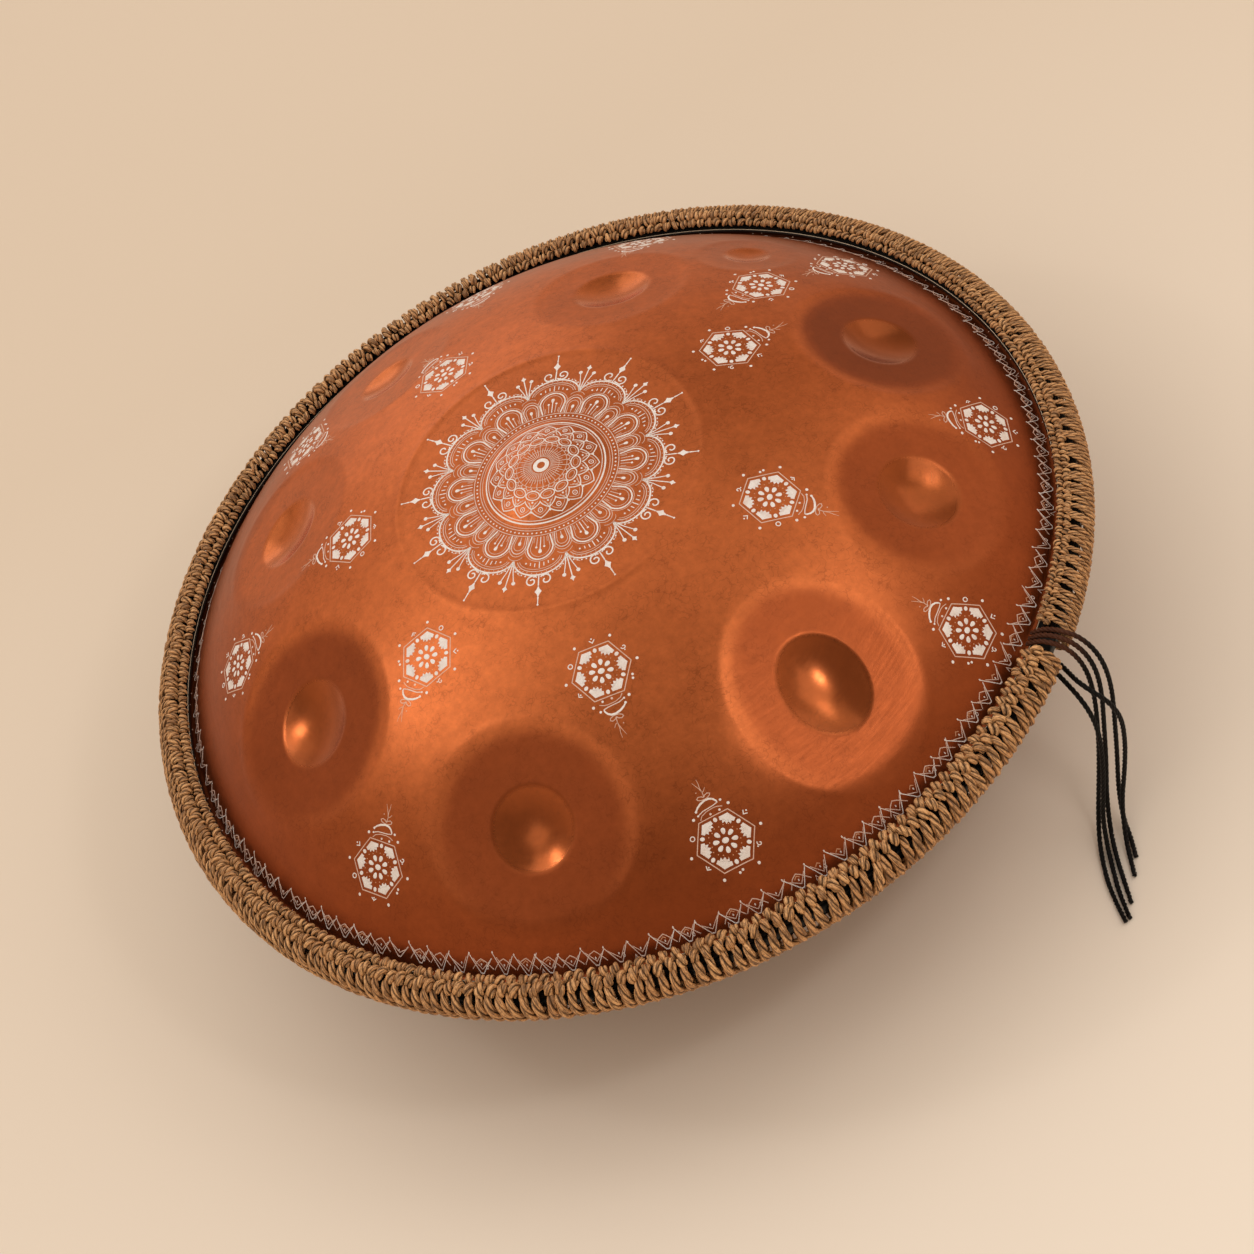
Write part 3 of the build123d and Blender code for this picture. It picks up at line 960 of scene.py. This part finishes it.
def finer(points, half, longest):
    """Points added along a line so that no step is longer than the given one."""
    steps = np.linalg.norm(np.diff(points, axis=0), axis=-1)
    run = np.concatenate([[0], np.cumsum(steps)])
    places = [run[:1]]
    for start, step in zip(run[:-1], steps):
        count = max(1, int(np.ceil(step / longest)))
        places.append(start + step * np.arange(1, count + 1) / count)
    places = np.concatenate(places)
    found = np.stack([np.interp(places, run, points[:, 0]), np.interp(places, run, points[:, 1])], -1)
    return found, np.interp(places, run, half)


def oval(u, v, half_u, half_v, steps, start=0, end=360):
    """Points round an oval, from one angle to another."""
    whole = end - start == 360
    angle = np.radians(start + (end - start) * np.arange(steps + (not whole)) / steps)
    return [u, v] + [half_u, half_v] * circle(angle)


def arch(half, foot, top, steps=16, start=0, end=180):
    """Round arch across the second axis, from its right foot to its left one."""
    return oval(0, foot, half, top - foot, steps, start, end)


def pointed(half, foot, top, steps=7):
    """Pointed arch with sides that bulge outward."""
    share = np.linspace(0, 1, steps)
    right = np.stack([half * np.cos(share * pi / 2) ** 0.8, foot + (top - foot) * share ** 1.15], -1)
    return np.concatenate([right, right[-2::-1] * [-1, 1]])


def petal(half, foot, foot_half, waist, top, steps=12):
    """U-shaped petal: straight sides that open upward, then a round top."""
    return np.concatenate([[[foot_half, foot]], arch(half, waist, top, steps), [[-foot_half, foot]]])


def drop(v, half, low, high):
    """Drop shape from a point at v - low to a round end at v + high."""
    angle = np.arange(14) * pi / 7
    across = half * np.sin(angle) * (0.84 - 0.16 * np.cos(angle))
    return np.stack([across, v + np.where(np.cos(angle) < 0, high, low) * -np.cos(angle)], -1)


def diamond(v, half, low, high):
    """Four points with hollow sides."""
    waist = 0.42 * half
    right = [(0, v - low), (waist, v - 0.42 * low), (half, v), (waist, v + 0.36 * high), (0, v + high)]
    return right + mirrored(right[-2:0:-1])


def mirrored(points):
    return [(-u, v) for u, v in points]


def curl(u, v, radius, start, hand, turns=1.35):
    """Spiral that winds in from its outer end."""
    share = np.linspace(0, 1, 26)
    angle = np.radians(start) + hand * share * turns * 2 * pi
    reach = radius * (1 - 0.78 * share)
    return [u, v] + reach[:, None] * circle(angle)


def draw_finial(art):
    """Two curls, a leaf and a pointed line beyond a scallop."""
    for side, turns in ((1, 1.3), (-1, 1.05)):
        art.line(curl(4.1 * side, 71.6, 3.7, 90 + 125 * side, side, turns), 0.9)
    art.line([(0, 68.0), (0, 75)], 0.8)
    art.shape(diamond(78.6, 2.2, 3.9, 4.2))
    art.line([(0, 82.2), (0, 84.5), (0, 87.0)], [1.0, 0.6, 0.55])
    art.dot(0, 87.0, 0.65)


def draw_spray(art):
    """Three stems with heads that grow from between two scallops."""
    art.line([(0, 58.6), (0, 74.5)], 0.7)
    art.shape(diamond(76.0, 1.7, 2.4, 2.3))
    art.pair([(0.5, 59.6), (1.9, 65.5), (3.9, 71.4)], 0.6)
    art.dots((4.1, 72.2, 1.25), (-4.1, 72.2, 1.25))
    art.pair([(0.9, 60.4), (4.4, 65.6), (6.4, 67.2)], 0.45, peach)


def draw_scallop(art):
    """Outer scallop with teeth, its inner lines, dashes and ticks."""
    half, foot, top = 15.1, 56.6, 68.0
    art.line(arch(half, foot, top, 24), 1.05)
    art.line(arch(half - 2.2, foot + 0.2, top - 2.3, 20, 6, 174), 0.5, 0.6)
    art.line(arch(half - 3.4, foot + 0.2, top - 3.7, 20, 8, 172), 0.4, peach)
    art.dots(*((u, v, 0.5) for u, v in arch(half + 1.1, foot + 0.6, top + 1.1, 16, 12, 168)))
    art.dots(*((u, v, 0.3, 0.6) for u, v in arch(half - 1.15, foot, top - 1.15, 11, 24, 156)))
    art.line([(0, 59.6), (0, 63.6)], 0.6)
    art.pair([(2.565, 60.2), (2.7, 62.6)], 0.6)
    art.pair([(5.035, 59.6), (5.3, 61.4)], 0.6)
    art.dots((7.8, 59.4, 0.6), (-7.8, 59.4, 0.6))


def draw_petal(art):
    """Large U-shaped petal with a double outline and stamens."""
    art.line(petal(8.8, 46.5, 7.9, 50.2, 59.2), 0.42, peach)
    art.line(petal(7.4, 42.6, 5.2, 50.2, 58.0), 0.9)
    art.line(petal(5.7, 42.8, 3.9, 50.2, 56.2), 0.4, peach)
    art.line([(0, 43.4), (0, 51.6)], 0.6)
    art.shape(drop(52.8, 1.25, 1.9, 1.3))
    art.pair([(1.8, 43.4), (2.2, 49.2)], 0.45, 0.6)
    art.dots((2.3, 49.9, 0.7), (-2.3, 49.9, 0.7))
    art.pair([(3.4, 43.6), (3.9, 46.8)], 0.4, peach)


def draw_between(art):
    """Nested arches with a drop, between two large petals."""
    for half, top, width, tone in ((5.4, 55.6, 0.5, peach), (4.3, 53.8, 0.6, 0.75), (3.0, 51.7, 0.45, peach)):
        art.line(petal(half, 42.6, 0.8 * half, 48.4, top, 10), width, tone)
    art.line(arch(4.6, 54.4, 58.0, 10, 20, 160), 0.4, peach)
    art.line([(0, 43.2), (0, 46.2)], 0.5, 0.6)
    art.shape(drop(47.3, 1.1, 1.7, 1.2))


def draw_lotus(art, phase):
    """Two layers of pointed petals, ovals, rays and the white eye on the ding."""
    for _ in art.around(16, phase):
        art.line(pointed(5.5, 26.9, 31.9), 0.6)
        art.line(pointed(3.7, 26.9, 30.2), 0.35, peach)
        art.ring(0, 27.6, 1.25, 0.45)
        art.dot(0, 27.6, 0.35)
        art.pair([(5.5, 26.9), (2.6, 23.2)], 0.5, 0.7)
    for _ in art.around(16, phase, 0.5):
        art.line(pointed(4.5, 22.3, 27.1), 0.6)
        art.line(pointed(2.9, 22.3, 25.4), 0.35, peach)
        art.dots((0, 23.3, 0.6), (0, 28.9, 0.45))
    for _ in art.around(14, phase, 0.5):
        art.line(oval(0, 19.4, 4.1, 2.6, 18), 0.65, closed=True)
        art.line(oval(0, 19.4, 2.6, 1.4, 12), 0.35, peach, closed=True)
        art.line([(-4.1, 17.4), (-3.6, 16.4)], 0.4, peach)
    for _ in art.around(28, phase):
        art.line(arch(1.8, 14.7, 16.6, 8), 0.4, 0.7)
    for k in art.around(48, phase):
        art.line([(0, 5.6), (0, 14.6 if k % 2 else 12.4)], 0.34, 0.7)
    art.aim(0, 0, phase)
    art.ring(0, 0, 14.7, 0.35, peach, 72)
    art.ring(0, 0, 10.4, 0.3, peach, 60)
    art.ring(0, 0, 3.5, 2.5, white, 32)


def draw_mandala(art, phase=-117.0):
    """Twelvefold mandala round the ding."""
    for _ in art.around(12, phase):
        draw_finial(art)
        draw_scallop(art)
        draw_petal(art)
    for _ in art.around(12, phase, 0.5):
        draw_spray(art)
        draw_between(art)
    art.aim(0, 0, phase)
    rings = ((42.3, 0.5, 0.6), (38.7, 0.45, 0.6), (37.3, 0.4, peach), (34.8, 0.95, white), (33.2, 0.5, 0.75))
    for radius, width, tone in rings:
        art.ring(0, 0, radius, width, tone, 144)
    for _ in art.around(96, phase):
        art.dot(0, 40.5, 0.55)
    draw_lotus(art, phase)


def corner_leaf():
    """Solid leaf for a motif's corner, notched on its inner side; its tip points up."""
    half = [(0, 15.2), (4.6, 12.5), (3.9, 10.6), (2.9, 11.3), (2.3, 9.0), (1.2, 10.3), (0, 8.6)]
    return half + mirrored(half[-2:0:-1])


def draw_side_mark(art, kind):
    """Small mark outside a side of the hexagon."""
    if kind == 0:
        art.ring(0, 17.6, 1.25, 0.6)
    elif kind == 1:
        art.line([(-1.5, 18.6), (0, 16.9), (1.5, 18.6)], 0.6)
        art.dot(0, 19.4, 0.5)
    elif kind == 2:
        art.line(curl(0, 17.7, 1.5, 250, 1, 0.9), 0.6)
        art.dot(1.9, 16.9, 0.45)
    elif kind == 3:
        art.dots((-1.0, 17.2, 0.75), (1.0, 17.9, 0.75))
    else:
        art.line([(-1.6, 16.9), (0, 18.2), (1.6, 16.9)], 0.6)
        art.dot(0, 16.8, 0.45)


def draw_motif(art, r, azimuth, inward, kind):
    """Hexagon with corner leaves and a flower; its finial points to or from the ding."""
    slope = top_semi / ellipse_radius ** 2 * r / sqrt(1 - (r / ellipse_radius) ** 2)
    squeeze = 1 / sqrt(1 + slope ** 2)
    facing = azimuth + (180 if inward else 0)

    def turn(angle):
        """Turn the frame within the motif, which lies on a slope."""
        art.aim(r, azimuth, facing, squeeze)
        a = radians(angle)
        art.axes = np.array([[cos(a), -sin(a)], [sin(a), cos(a)]]) @ art.axes

    turn(0)
    corners = 17.0 * circle(np.radians(60 - 60 * np.arange(6)))
    art.line(corners, 0.6, peach, closed=True)
    for k in range(6):
        turn(60 * k + 30)
        art.shape(corner_leaf(), 0.92)
        art.dot(0, 20.4, 0.9)
        turn(60 * k)
        art.shape(oval(0, 12.3, 1.15, 1.35, 10))
        if k:
            draw_side_mark(art, (kind + k) % 5)
    for k in range(8):
        turn(45 * k + 12)
        art.shape(drop(5.2, 1.5, 2.0, 1.7))
    for k in range(20):
        turn(18 * k)
        art.dot(0, 8.0 + 0.5 * (k % 3), 0.38, faint)
    turn(0)
    art.shape(oval(0, 0, 2.0, 1.65, 12))
    draw_motif_finial(art)


def draw_motif_finial(art):
    """Crescent, bow and fading whiskers beyond one side of a motif."""
    crescent = [(-7.0, 21.2), (-5.4, 22.7), (-3.3, 23.9), (-0.2, 24.8), (2.2, 24.5), (3.9, 23.4), (5.0, 21.8)]
    art.line(crescent + [(5.2, 20.7)], [0.8, 1.1, 1.25, 1.25, 1.2, 1.05, 0.9, 0.6])
    art.line([(5.2, 20.7), (2.6, 20.1), (0.3, 19.9), (-3.9, 19.6), (-6.9, 18.5)], 0.6, 0.75)
    art.line([(6.7, 17.5), (4.2, 18.6), (2.1, 18.9), (-2.1, 18.6), (-5.4, 17.4), (-6.9, 15.6)], 0.5, peach)
    art.dots((-7.1, 18.4, 0.6), (-0.8, 16.3, 0.7, 0.7), (4.5, 16.3, 0.7), (7.2, 21.2, 0.75))
    art.dot(-7.1, 21.0, 0.75)
    bow = [(0, 25.4), (1.6, 25.5), (3.4, 26.3), (3.8, 27.3), (2.6, 28.0), (1.0, 27.5), (0, 26.4)]
    art.pair(bow, 0.5, peach)
    art.line([(0, 26.4), (0.4, 28.2), (0.5, 29.5)], 0.45, peach)
    art.line([(0.5, 29.5), (-0.2, 32.0), (-1.2, 34.6), (-2.3, 37.0)], [0.45, 0.42, 0.36, 0.2], 0.35)
    art.line([(0.5, 29.5), (0.2, 32.4), (0.6, 35.2), (0.5, 37.8)], [0.45, 0.42, 0.36, 0.2], 0.35)
    art.line([(0.5, 29.5), (1.6, 30.0), (2.8, 31.6)], [0.45, 0.42, 0.3], 0.35)
    art.dot(-2.6, 30.8, 0.4, 0.35)


# motifs: distance from the axis in millimetres, azimuth in degrees
motifs_outward = [(123, 100), (121, 158), (122, -150), (133, -102), (129, -41), (126, 12)]
motifs_inward = [
    (177, 26), (228, 24), (232, -16), (236, -50), (228, -94), (224, -146), (210, 167), (201, 124), (209, 85),
    (221, 58),
]


def draw_border(art):
    """Two uneven zigzags that cross, with small lines and dots, just above the rim."""
    hand = np.random.default_rng(5)
    teeth = 122
    wide = 253 * pi / teeth
    sways = hand.normal(0, 0.45, teeth)
    talls = 249.9 + hand.normal(0, 0.5, teeth)
    lows = 255.9 + hand.normal(0, 0.3, teeth)
    peaks = wide + hand.normal(0, 0.5, teeth)
    wear = hand.uniform(0.55, 1.0, (teeth, 2))
    for k in range(teeth):
        azimuth = 360 * k / teeth
        drift = 2.3 * smooth_step(abs((azimuth + 280) % 360 - 180), 45, 85)
        art.aim(drift * MM, azimuth, azimuth)
        before, after = peaks[k - 1] - 2 * wide, peaks[k]
        rise, fall, low, sway = talls[k - 1], talls[k], lows[k], sways[k]
        left, right = wear[k]
        art.line([(before, rise), (-0.8 + sway, low)], 0.44, left)
        art.line([(-0.8 + sway, low), (0.8 + sway, low - 0.1), (after, fall)], 0.44, right)
        art.line([(before + 1.6, rise + 1.2), (sway - 0.4, low - 1.4), (after - 1.9, fall + 1.4)], 0.34, 0.5)
        top = 250.9 + 0.5 * sway
        if left > 0.7:
            art.line([(-wide * 1.02, 254.4), (-0.35 * wide, top + 0.9), (sway, top), (0.4 * wide, top + 1.0),
                      (wide * 0.9, 254.6)], 0.38, peach)
        if right > 0.75:
            art.line([(-0.22 * wide, 252.2), (0, 251.5), (0.26 * wide, 252.4)], 0.35, faint)
        art.dots((sway, 253.0, 0.42, 0.75), (after, fall - 0.3, 0.45, 0.85))
        if k % 2 == 0:
            art.dot(wide * 0.5, 257.4, 0.4, peach)
        if k % 3 == 0:
            art.ring(-0.45 * wide, 253.8, 0.65, 0.32, 0.7)
            art.dot(-0.7 * wide, 258.1, 0.38, peach)
        if k % 4 == 1:
            art.line([(0.3 * wide, 257.0), (0.62 * wide, 254.6), (0.72 * wide, 256.2)], 0.35, 0.6)


def ornament_paint():
    """Worn pale enamel; thin lines let more copper through."""
    s = Shader("ornament")
    place = s.place()
    grain = s.noise(place, 1400.0, 2.0)
    wear = s.noise(place, 160.0, 3.0)
    pale = s.mix(s.span(grain, 0.3, 0.7), (0.76, 0.68, 0.625), (0.86, 0.80, 0.76))
    thin = s.mix(s.span(grain, 0.3, 0.7), (0.52, 0.215, 0.105), (0.66, 0.33, 0.18))
    base = s.mix(s.span(s.attribute("tone"), 0.15, 1.0), thin, pale)
    base = s.mix(s.span(wear, 0.45, 0.8, 0.0, 0.35), base, (0.50, 0.20, 0.09))
    return s.put(Base_Color=base, Roughness=0.5, Metallic=0.15, Normal=s.bump(grain, 0.1, 0.0002))


art = Ornament()
draw_mandala(art)
draw_border(art)
for number, (distance, azimuth) in enumerate(motifs_outward + motifs_inward):
    draw_motif(art, distance * MM, azimuth, number >= len(motifs_outward), number)
art.finish("dome_ornament", ornament_paint())


# ---- corded cover ----
random = np.random.default_rng(11)
gap_start = radians(tie_azimuth - tie_gap_angle / 2)
gap_end = radians(tie_azimuth + tie_gap_angle / 2) - 2 * pi
pocket_r = rope_outer - 11.8 * MM


def stitch_azimuths():
    """Where each turn lies, from one side of the tie gap round to the other."""
    places = [46, 60, 115, 160, 200, 240, 300, 345, 405]
    pitches = [6.6, 7.0, 7.1, 5.6, 4.9, 5.0, 5.8, 5.0, 4.8]
    a = gap_start - 3.2 * MM / rope_outer
    found = []
    while a > gap_end + 2.6 * MM / rope_outer:
        found.append(a)
        a -= np.interp(-np.degrees(a), places, pitches) * MM / rope_outer
    return np.array(found)


turn_azimuths = stitch_azimuths()
turn_pitches = np.abs(np.gradient(turn_azimuths)) * rope_outer

# The hand-made cover differs round the rim.  Its values are given at these places, in degrees
# clockwise from azimuth 0: from the tie gap past the near side, the left and the far side, and back.
cover_places = [46, 75, 115, 150, 190, 240, 285, 330, 405]
turn_swells = [1.2, 1.7, 1.1, 1.6, 0.6, 0.0, 0.0, 0.2, 0.9]
turn_tops = [80, 72, 72, 70, 66, 70, 76, 92, 92]
turn_fullness = [0.42, 0.44, 0.44, 0.42, 0.41, 0.40, 0.38, 0.36, 0.37]
turn_leans = [-14, -14, 4, 18, 26, 8, -14, -26, -20]
turn_lays = [20, 24, 24, 20, 15, 15, 14, 12, 13]
inner_out = [1.6, 1.6, 1.3, 0.6, -0.2, -0.5, -0.2, 0.8, 1.5]
outer_out = [3.2, 3.7, 3.7, 3.5, 2.6, 1.9, 1.5, 1.4, 1.8]
inner_up = [2.2, 2.2, 2.2, 2.1, 1.8, 1.3, 1.1, 1.4, 2.0]
outer_up = [-0.3, -0.3, -0.3, -0.3, -0.5, -0.9, -0.9, -0.6, -0.3]
inner_coil = [1.2, 1.4, 1.4, 1.4, 1.5, 1.4, 1.2, 0.9, 0.9]
outer_coil = [1.6, 2.1, 2.2, 2.3, 2.5, 2.2, 1.7, 0.9, 1.0]

turn_bottom = 78                # degrees under the rim plane at which the turns end
turn_tuck = 1.8 * MM            # how far their ends tuck in
turn_taper = 0.38               # how much thinner their ends are
turn_half_height = 14 * MM      # height over which a turn's lean builds up, each way
cord_section = radians(-57)     # where the running cord lies round the band
cord_radius = 2.0 * MM
cord_lay = 11 * MM
knot_middle = radians(86)       # where the top of a knot's arch is, from outward
knot_half = radians(104)        # half of the arch
knot_slant = 0.10               # how far a knot slants along the rim, as a share of its pitch
knot_taper = 0.25               # how much thinner its ends are
knot_lay = 13 * MM


def round_rim(values, azimuth=turn_azimuths):
    """A value given at the cover's places, for every turn or for the azimuths asked."""
    return np.interp(-np.degrees(azimuth), cover_places, values)


def add_bundles(name, node, path, lean, radius, lay, phases, tint):
    """Add a piece of bundles of three plies along paths, that stands for a node."""
    sizes, tints = [], []
    for _ in range(3):
        sizes.append(random.uniform(0.86, 1.08, (len(path), 1)))
        tints.append(np.clip(tint + random.uniform(-0.25, 0.25, len(path)), 0, 1))
    phase = phases[:, None]
    mesh = bundle_mesh(name, path, lean, radius, 0.5 * radius, lay, phase, sizes, tints, 7, wander=0.08)
    add_piece(name, mesh, rope_twine, node)


def make_turns(sectors=10, steps=26):
    """The turns over the rim, each a twisted bundle; in front they sag outward from the even band."""
    count = len(turn_azimuths)
    share = np.linspace(-1, 1, steps)
    top = round_rim(turn_tops)[:, None]
    section = np.radians(top - (top + turn_bottom) * (share + 1) / 2)
    size = np.clip(round_rim(turn_fullness) * turn_pitches, 1.7 * MM, 3.0 * MM)
    size = (size * random.uniform(0.92, 1.05, count))[:, None]
    lean = np.radians(round_rim(turn_leans)) + random.normal(0, 0.07, count)
    radius = size * (1 - turn_taper * np.abs(share) ** 2.5)
    tuck = turn_tuck * np.abs(share) ** 5
    swell = round_rim(turn_swells)[:, None] * MM * np.sqrt(np.maximum(1 - share ** 4, 0))
    a = rope_outer - pocket_r - size - tuck + swell
    b = rope_half_height - size - tuck + 0.6 * swell
    stray = random.normal(0, 0.3 * MM, count)[:, None]
    bow = random.normal(0, 0.35 * MM, count)[:, None]
    shift = np.tan(lean)[:, None] * share * turn_half_height + stray + bow * share ** 2
    azimuth = turn_azimuths[:, None]
    path = polar(azimuth + shift / rope_outer, pocket_r + a * np.cos(section), rim_z + b * np.sin(section))
    outward = polar(azimuth, np.cos(section), np.sin(section))
    lay = -round_rim(turn_lays)[:, None] * MM
    phases = random.uniform(0, 2 * pi, count)
    tint = random.uniform(0.2, 0.8, count)
    for sector, members in enumerate(np.array_split(np.arange(count), sectors)):
        parts = (values[members] for values in (path, outward, radius, lay, phases, tint))
        add_bundles(f"rope_turns_{sector + 1}", "rope_turns", *parts)


def make_running_cord(steps=1500):
    """A twisted cord that runs along the rim under the turns, low on the outer side."""
    margin = 1.2 * MM / rope_outer
    a = np.linspace(gap_start - margin, gap_end + margin, steps)
    reach = cord_radius - 0.7 * round_rim(turn_swells, a) * MM
    r = pocket_r + (rope_outer - pocket_r - reach) * cos(cord_section)
    z = rim_z + (rope_half_height - reach) * sin(cord_section)
    path = polar(a, r, z)[None]
    outward = polar(a, cos(cord_section), sin(cord_section))[None]
    radius = np.full((1, steps), cord_radius)
    add_bundles("rope_running_cord", "rope_turns", path, outward, radius, cord_lay, np.zeros(1),
                np.full(1, 0.4))


def make_knots(name, out, up, z, coil, fullness, shift):
    """A row of knots, one for each turn; each is a short fat bundle arched over the row's core."""
    side = 1 if z > 0 else -1
    pitch = turn_pitches
    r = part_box(name)[1].x - row_radius + round_rim(out) * MM
    middle = turn_azimuths + (shift * pitch + random.normal(0, 0.25 * MM, len(pitch))) / r
    margin = 1.8 * MM / r
    inside = (middle < gap_start - margin) & (middle > gap_end + margin)
    loose, rise = (round_rim(values)[inside, None] * MM for values in (coil, up))
    middle, pitch, r = (values[inside, None] for values in (middle, pitch, r))
    count = len(middle)
    share = np.linspace(-1, 1, 11)
    around = knot_middle + knot_half * share + random.normal(0, 0.12, (count, 1))
    slant = (knot_slant + random.normal(0, 0.10, (count, 1))) * pitch * share
    loose = loose * random.uniform(0.9, 1.12, (count, 1))
    height = rim_z + z + side * (rise + loose * np.sin(around))
    path = polar(middle + slant / r, r + loose * np.cos(around), height)
    outward = polar(middle, np.cos(around), side * np.sin(around))
    radius = np.clip(fullness * pitch, 1.4 * MM, 2.9 * MM) * random.uniform(0.92, 1.06, (count, 1))
    radius = radius * (1 - knot_taper * share ** 4)
    lay = random.choice([-1, 1], (count, 1)) * knot_lay
    phases = random.uniform(0, 6.2, count)
    add_bundles(name + "_knots", name, path, outward, radius, lay, phases, random.uniform(0.25, 0.9, count))


make_turns()
make_running_cord()
for half, sign in (("upper", 1), ("lower", -1)):
    make_knots(f"chain_row_{half}_inner", inner_out, inner_up, sign * row_1_z, inner_coil, 0.41, 0.5)
    make_knots(f"chain_row_{half}_outer", outer_out, outer_up, sign * row_2_z, outer_coil, 0.42, 0.0)

# ---- CAD nodes that keep their shape ----
for node, material in (
    ("rim_adhesive", glue), ("core_cords_upper", core_twine), ("core_cords_lower", core_twine),
):
    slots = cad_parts[node].data.materials
    slots.clear()
    slots.append(material)


# ---- floor, light and world ----
def make_floor(half=14.0, gap=0.3 * MM):
    """Wide pale floor just under the standing face, a little paler in front as painted light."""
    s = Shader("floor")
    place = s.place()
    base = s.mix(s.noise(place, 1.2, 3.0), (0.68, 0.54, 0.415), (0.715, 0.57, 0.44))
    # Painted light: the floor pales towards the camera.
    base = s.mix(s.span(s.split(place)[1], -0.65, 0.45, 1.0, 0.0), base, (0.90, 0.77, 0.65))
    data = bpy.data.meshes.new("floor")
    data.from_pydata([(-half, -half, -gap), (half, -half, -gap), (half, half, -gap), (-half, half, -gap)],
                     [], [(0, 1, 2, 3)])
    data.materials.append(s.put(Base_Color=base, Roughness=0.9, Specular_IOR_Level=0.1))
    link("floor", data)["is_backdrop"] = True


def add_lamp(name, direction, size, power, distance=1.9):
    """A square soft box that faces the pan."""
    data = bpy.data.lights.new(name, "AREA")
    data.shape = "SQUARE"
    data.size = size
    data.energy = power
    lamp = link(name, data)
    direction = Vector(direction).normalized()
    lamp.location = Vector((0, 0, rim_z)) + distance * direction
    lamp.rotation_mode = "QUATERNION"
    lamp.rotation_quaternion = direction.to_track_quat("Z", "Y")


def make_world(strength=0.74):
    """Even soft light, warmer near the floor; cameras, gloss and glass see the pale room."""
    world = bpy.data.worlds.new("room")
    bpy.context.scene.world = world
    world.use_nodes = True
    w = Nodes(world.node_tree)
    height = w.split(w.place("Generated"))["Z"]
    light = w.node("ShaderNodeMixRGB", {
        "Fac": w.span(height, 0.05, 0.65), "Color1": (0.92, 0.72, 0.45), "Color2": (1.0, 0.94, 0.85)})
    background = w.tree.nodes["Background"]
    w.join(light.outputs[0], background.inputs["Color"])
    w.join(strength, background.inputs["Strength"])
    room = w.node("ShaderNodeBackground", {
        "Color": (0.68, 0.54, 0.41), "Strength": w.span(height, 0.15, 0.7, 1.0, 0.45)})
    ray = w.node("ShaderNodeLightPath").outputs
    seen = w.math("MAXIMUM", ray["Is Camera Ray"], ray["Is Glossy Ray"])
    seen = w.math("MAXIMUM", seen, ray["Is Transmission Ray"])
    mix = w.node("ShaderNodeMixShader", {0: seen, 1: background.outputs[0], 2: room.outputs[0]})
    w.join(mix.outputs[0], w.tree.nodes["World Output"].inputs["Surface"])


make_floor()
# lamps: direction from the pan's middle, width in metres, power in watts
for lamp in (
    ("right_low", (0.60, -0.34, 0.72), 1.0, 2.5),
    ("right_high", (0.44, 0.12, 0.89), 1.0, 1.3),
    ("right_side", (0.82, 0.20, 0.54), 1.0, 1.5),
    ("left_low", (-0.62, 0.30, 0.72), 1.0, 0.3),
    ("left_high", (-0.40, 0.30, 0.87), 0.8, 2.1),
    ("left_front", (-0.55, -0.20, 0.80), 0.7, 1.0),
    ("back", (-0.35, 0.62, 0.70), 1.0, 1.1),
    ("back_low", (-0.06, 0.90, 0.40), 1.0, 2.1),
    ("overhead", (0.02, 0.36, 0.93), 1.0, 1.7),
    ("front_spark", (0.37, -0.52, 0.735), 0.2, 2.4),
    ("right_spark", (0.60, -0.14, 0.79), 0.4, 0.8),
    ("left_spark", (-0.61, 0.28, 0.74), 0.25, 1.8),
):
    add_lamp(*lamp)
make_world()
bpy.context.scene.view_settings.view_transform = "Standard"

[[list(corner) for corner in box] for box in (cad_box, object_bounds())]
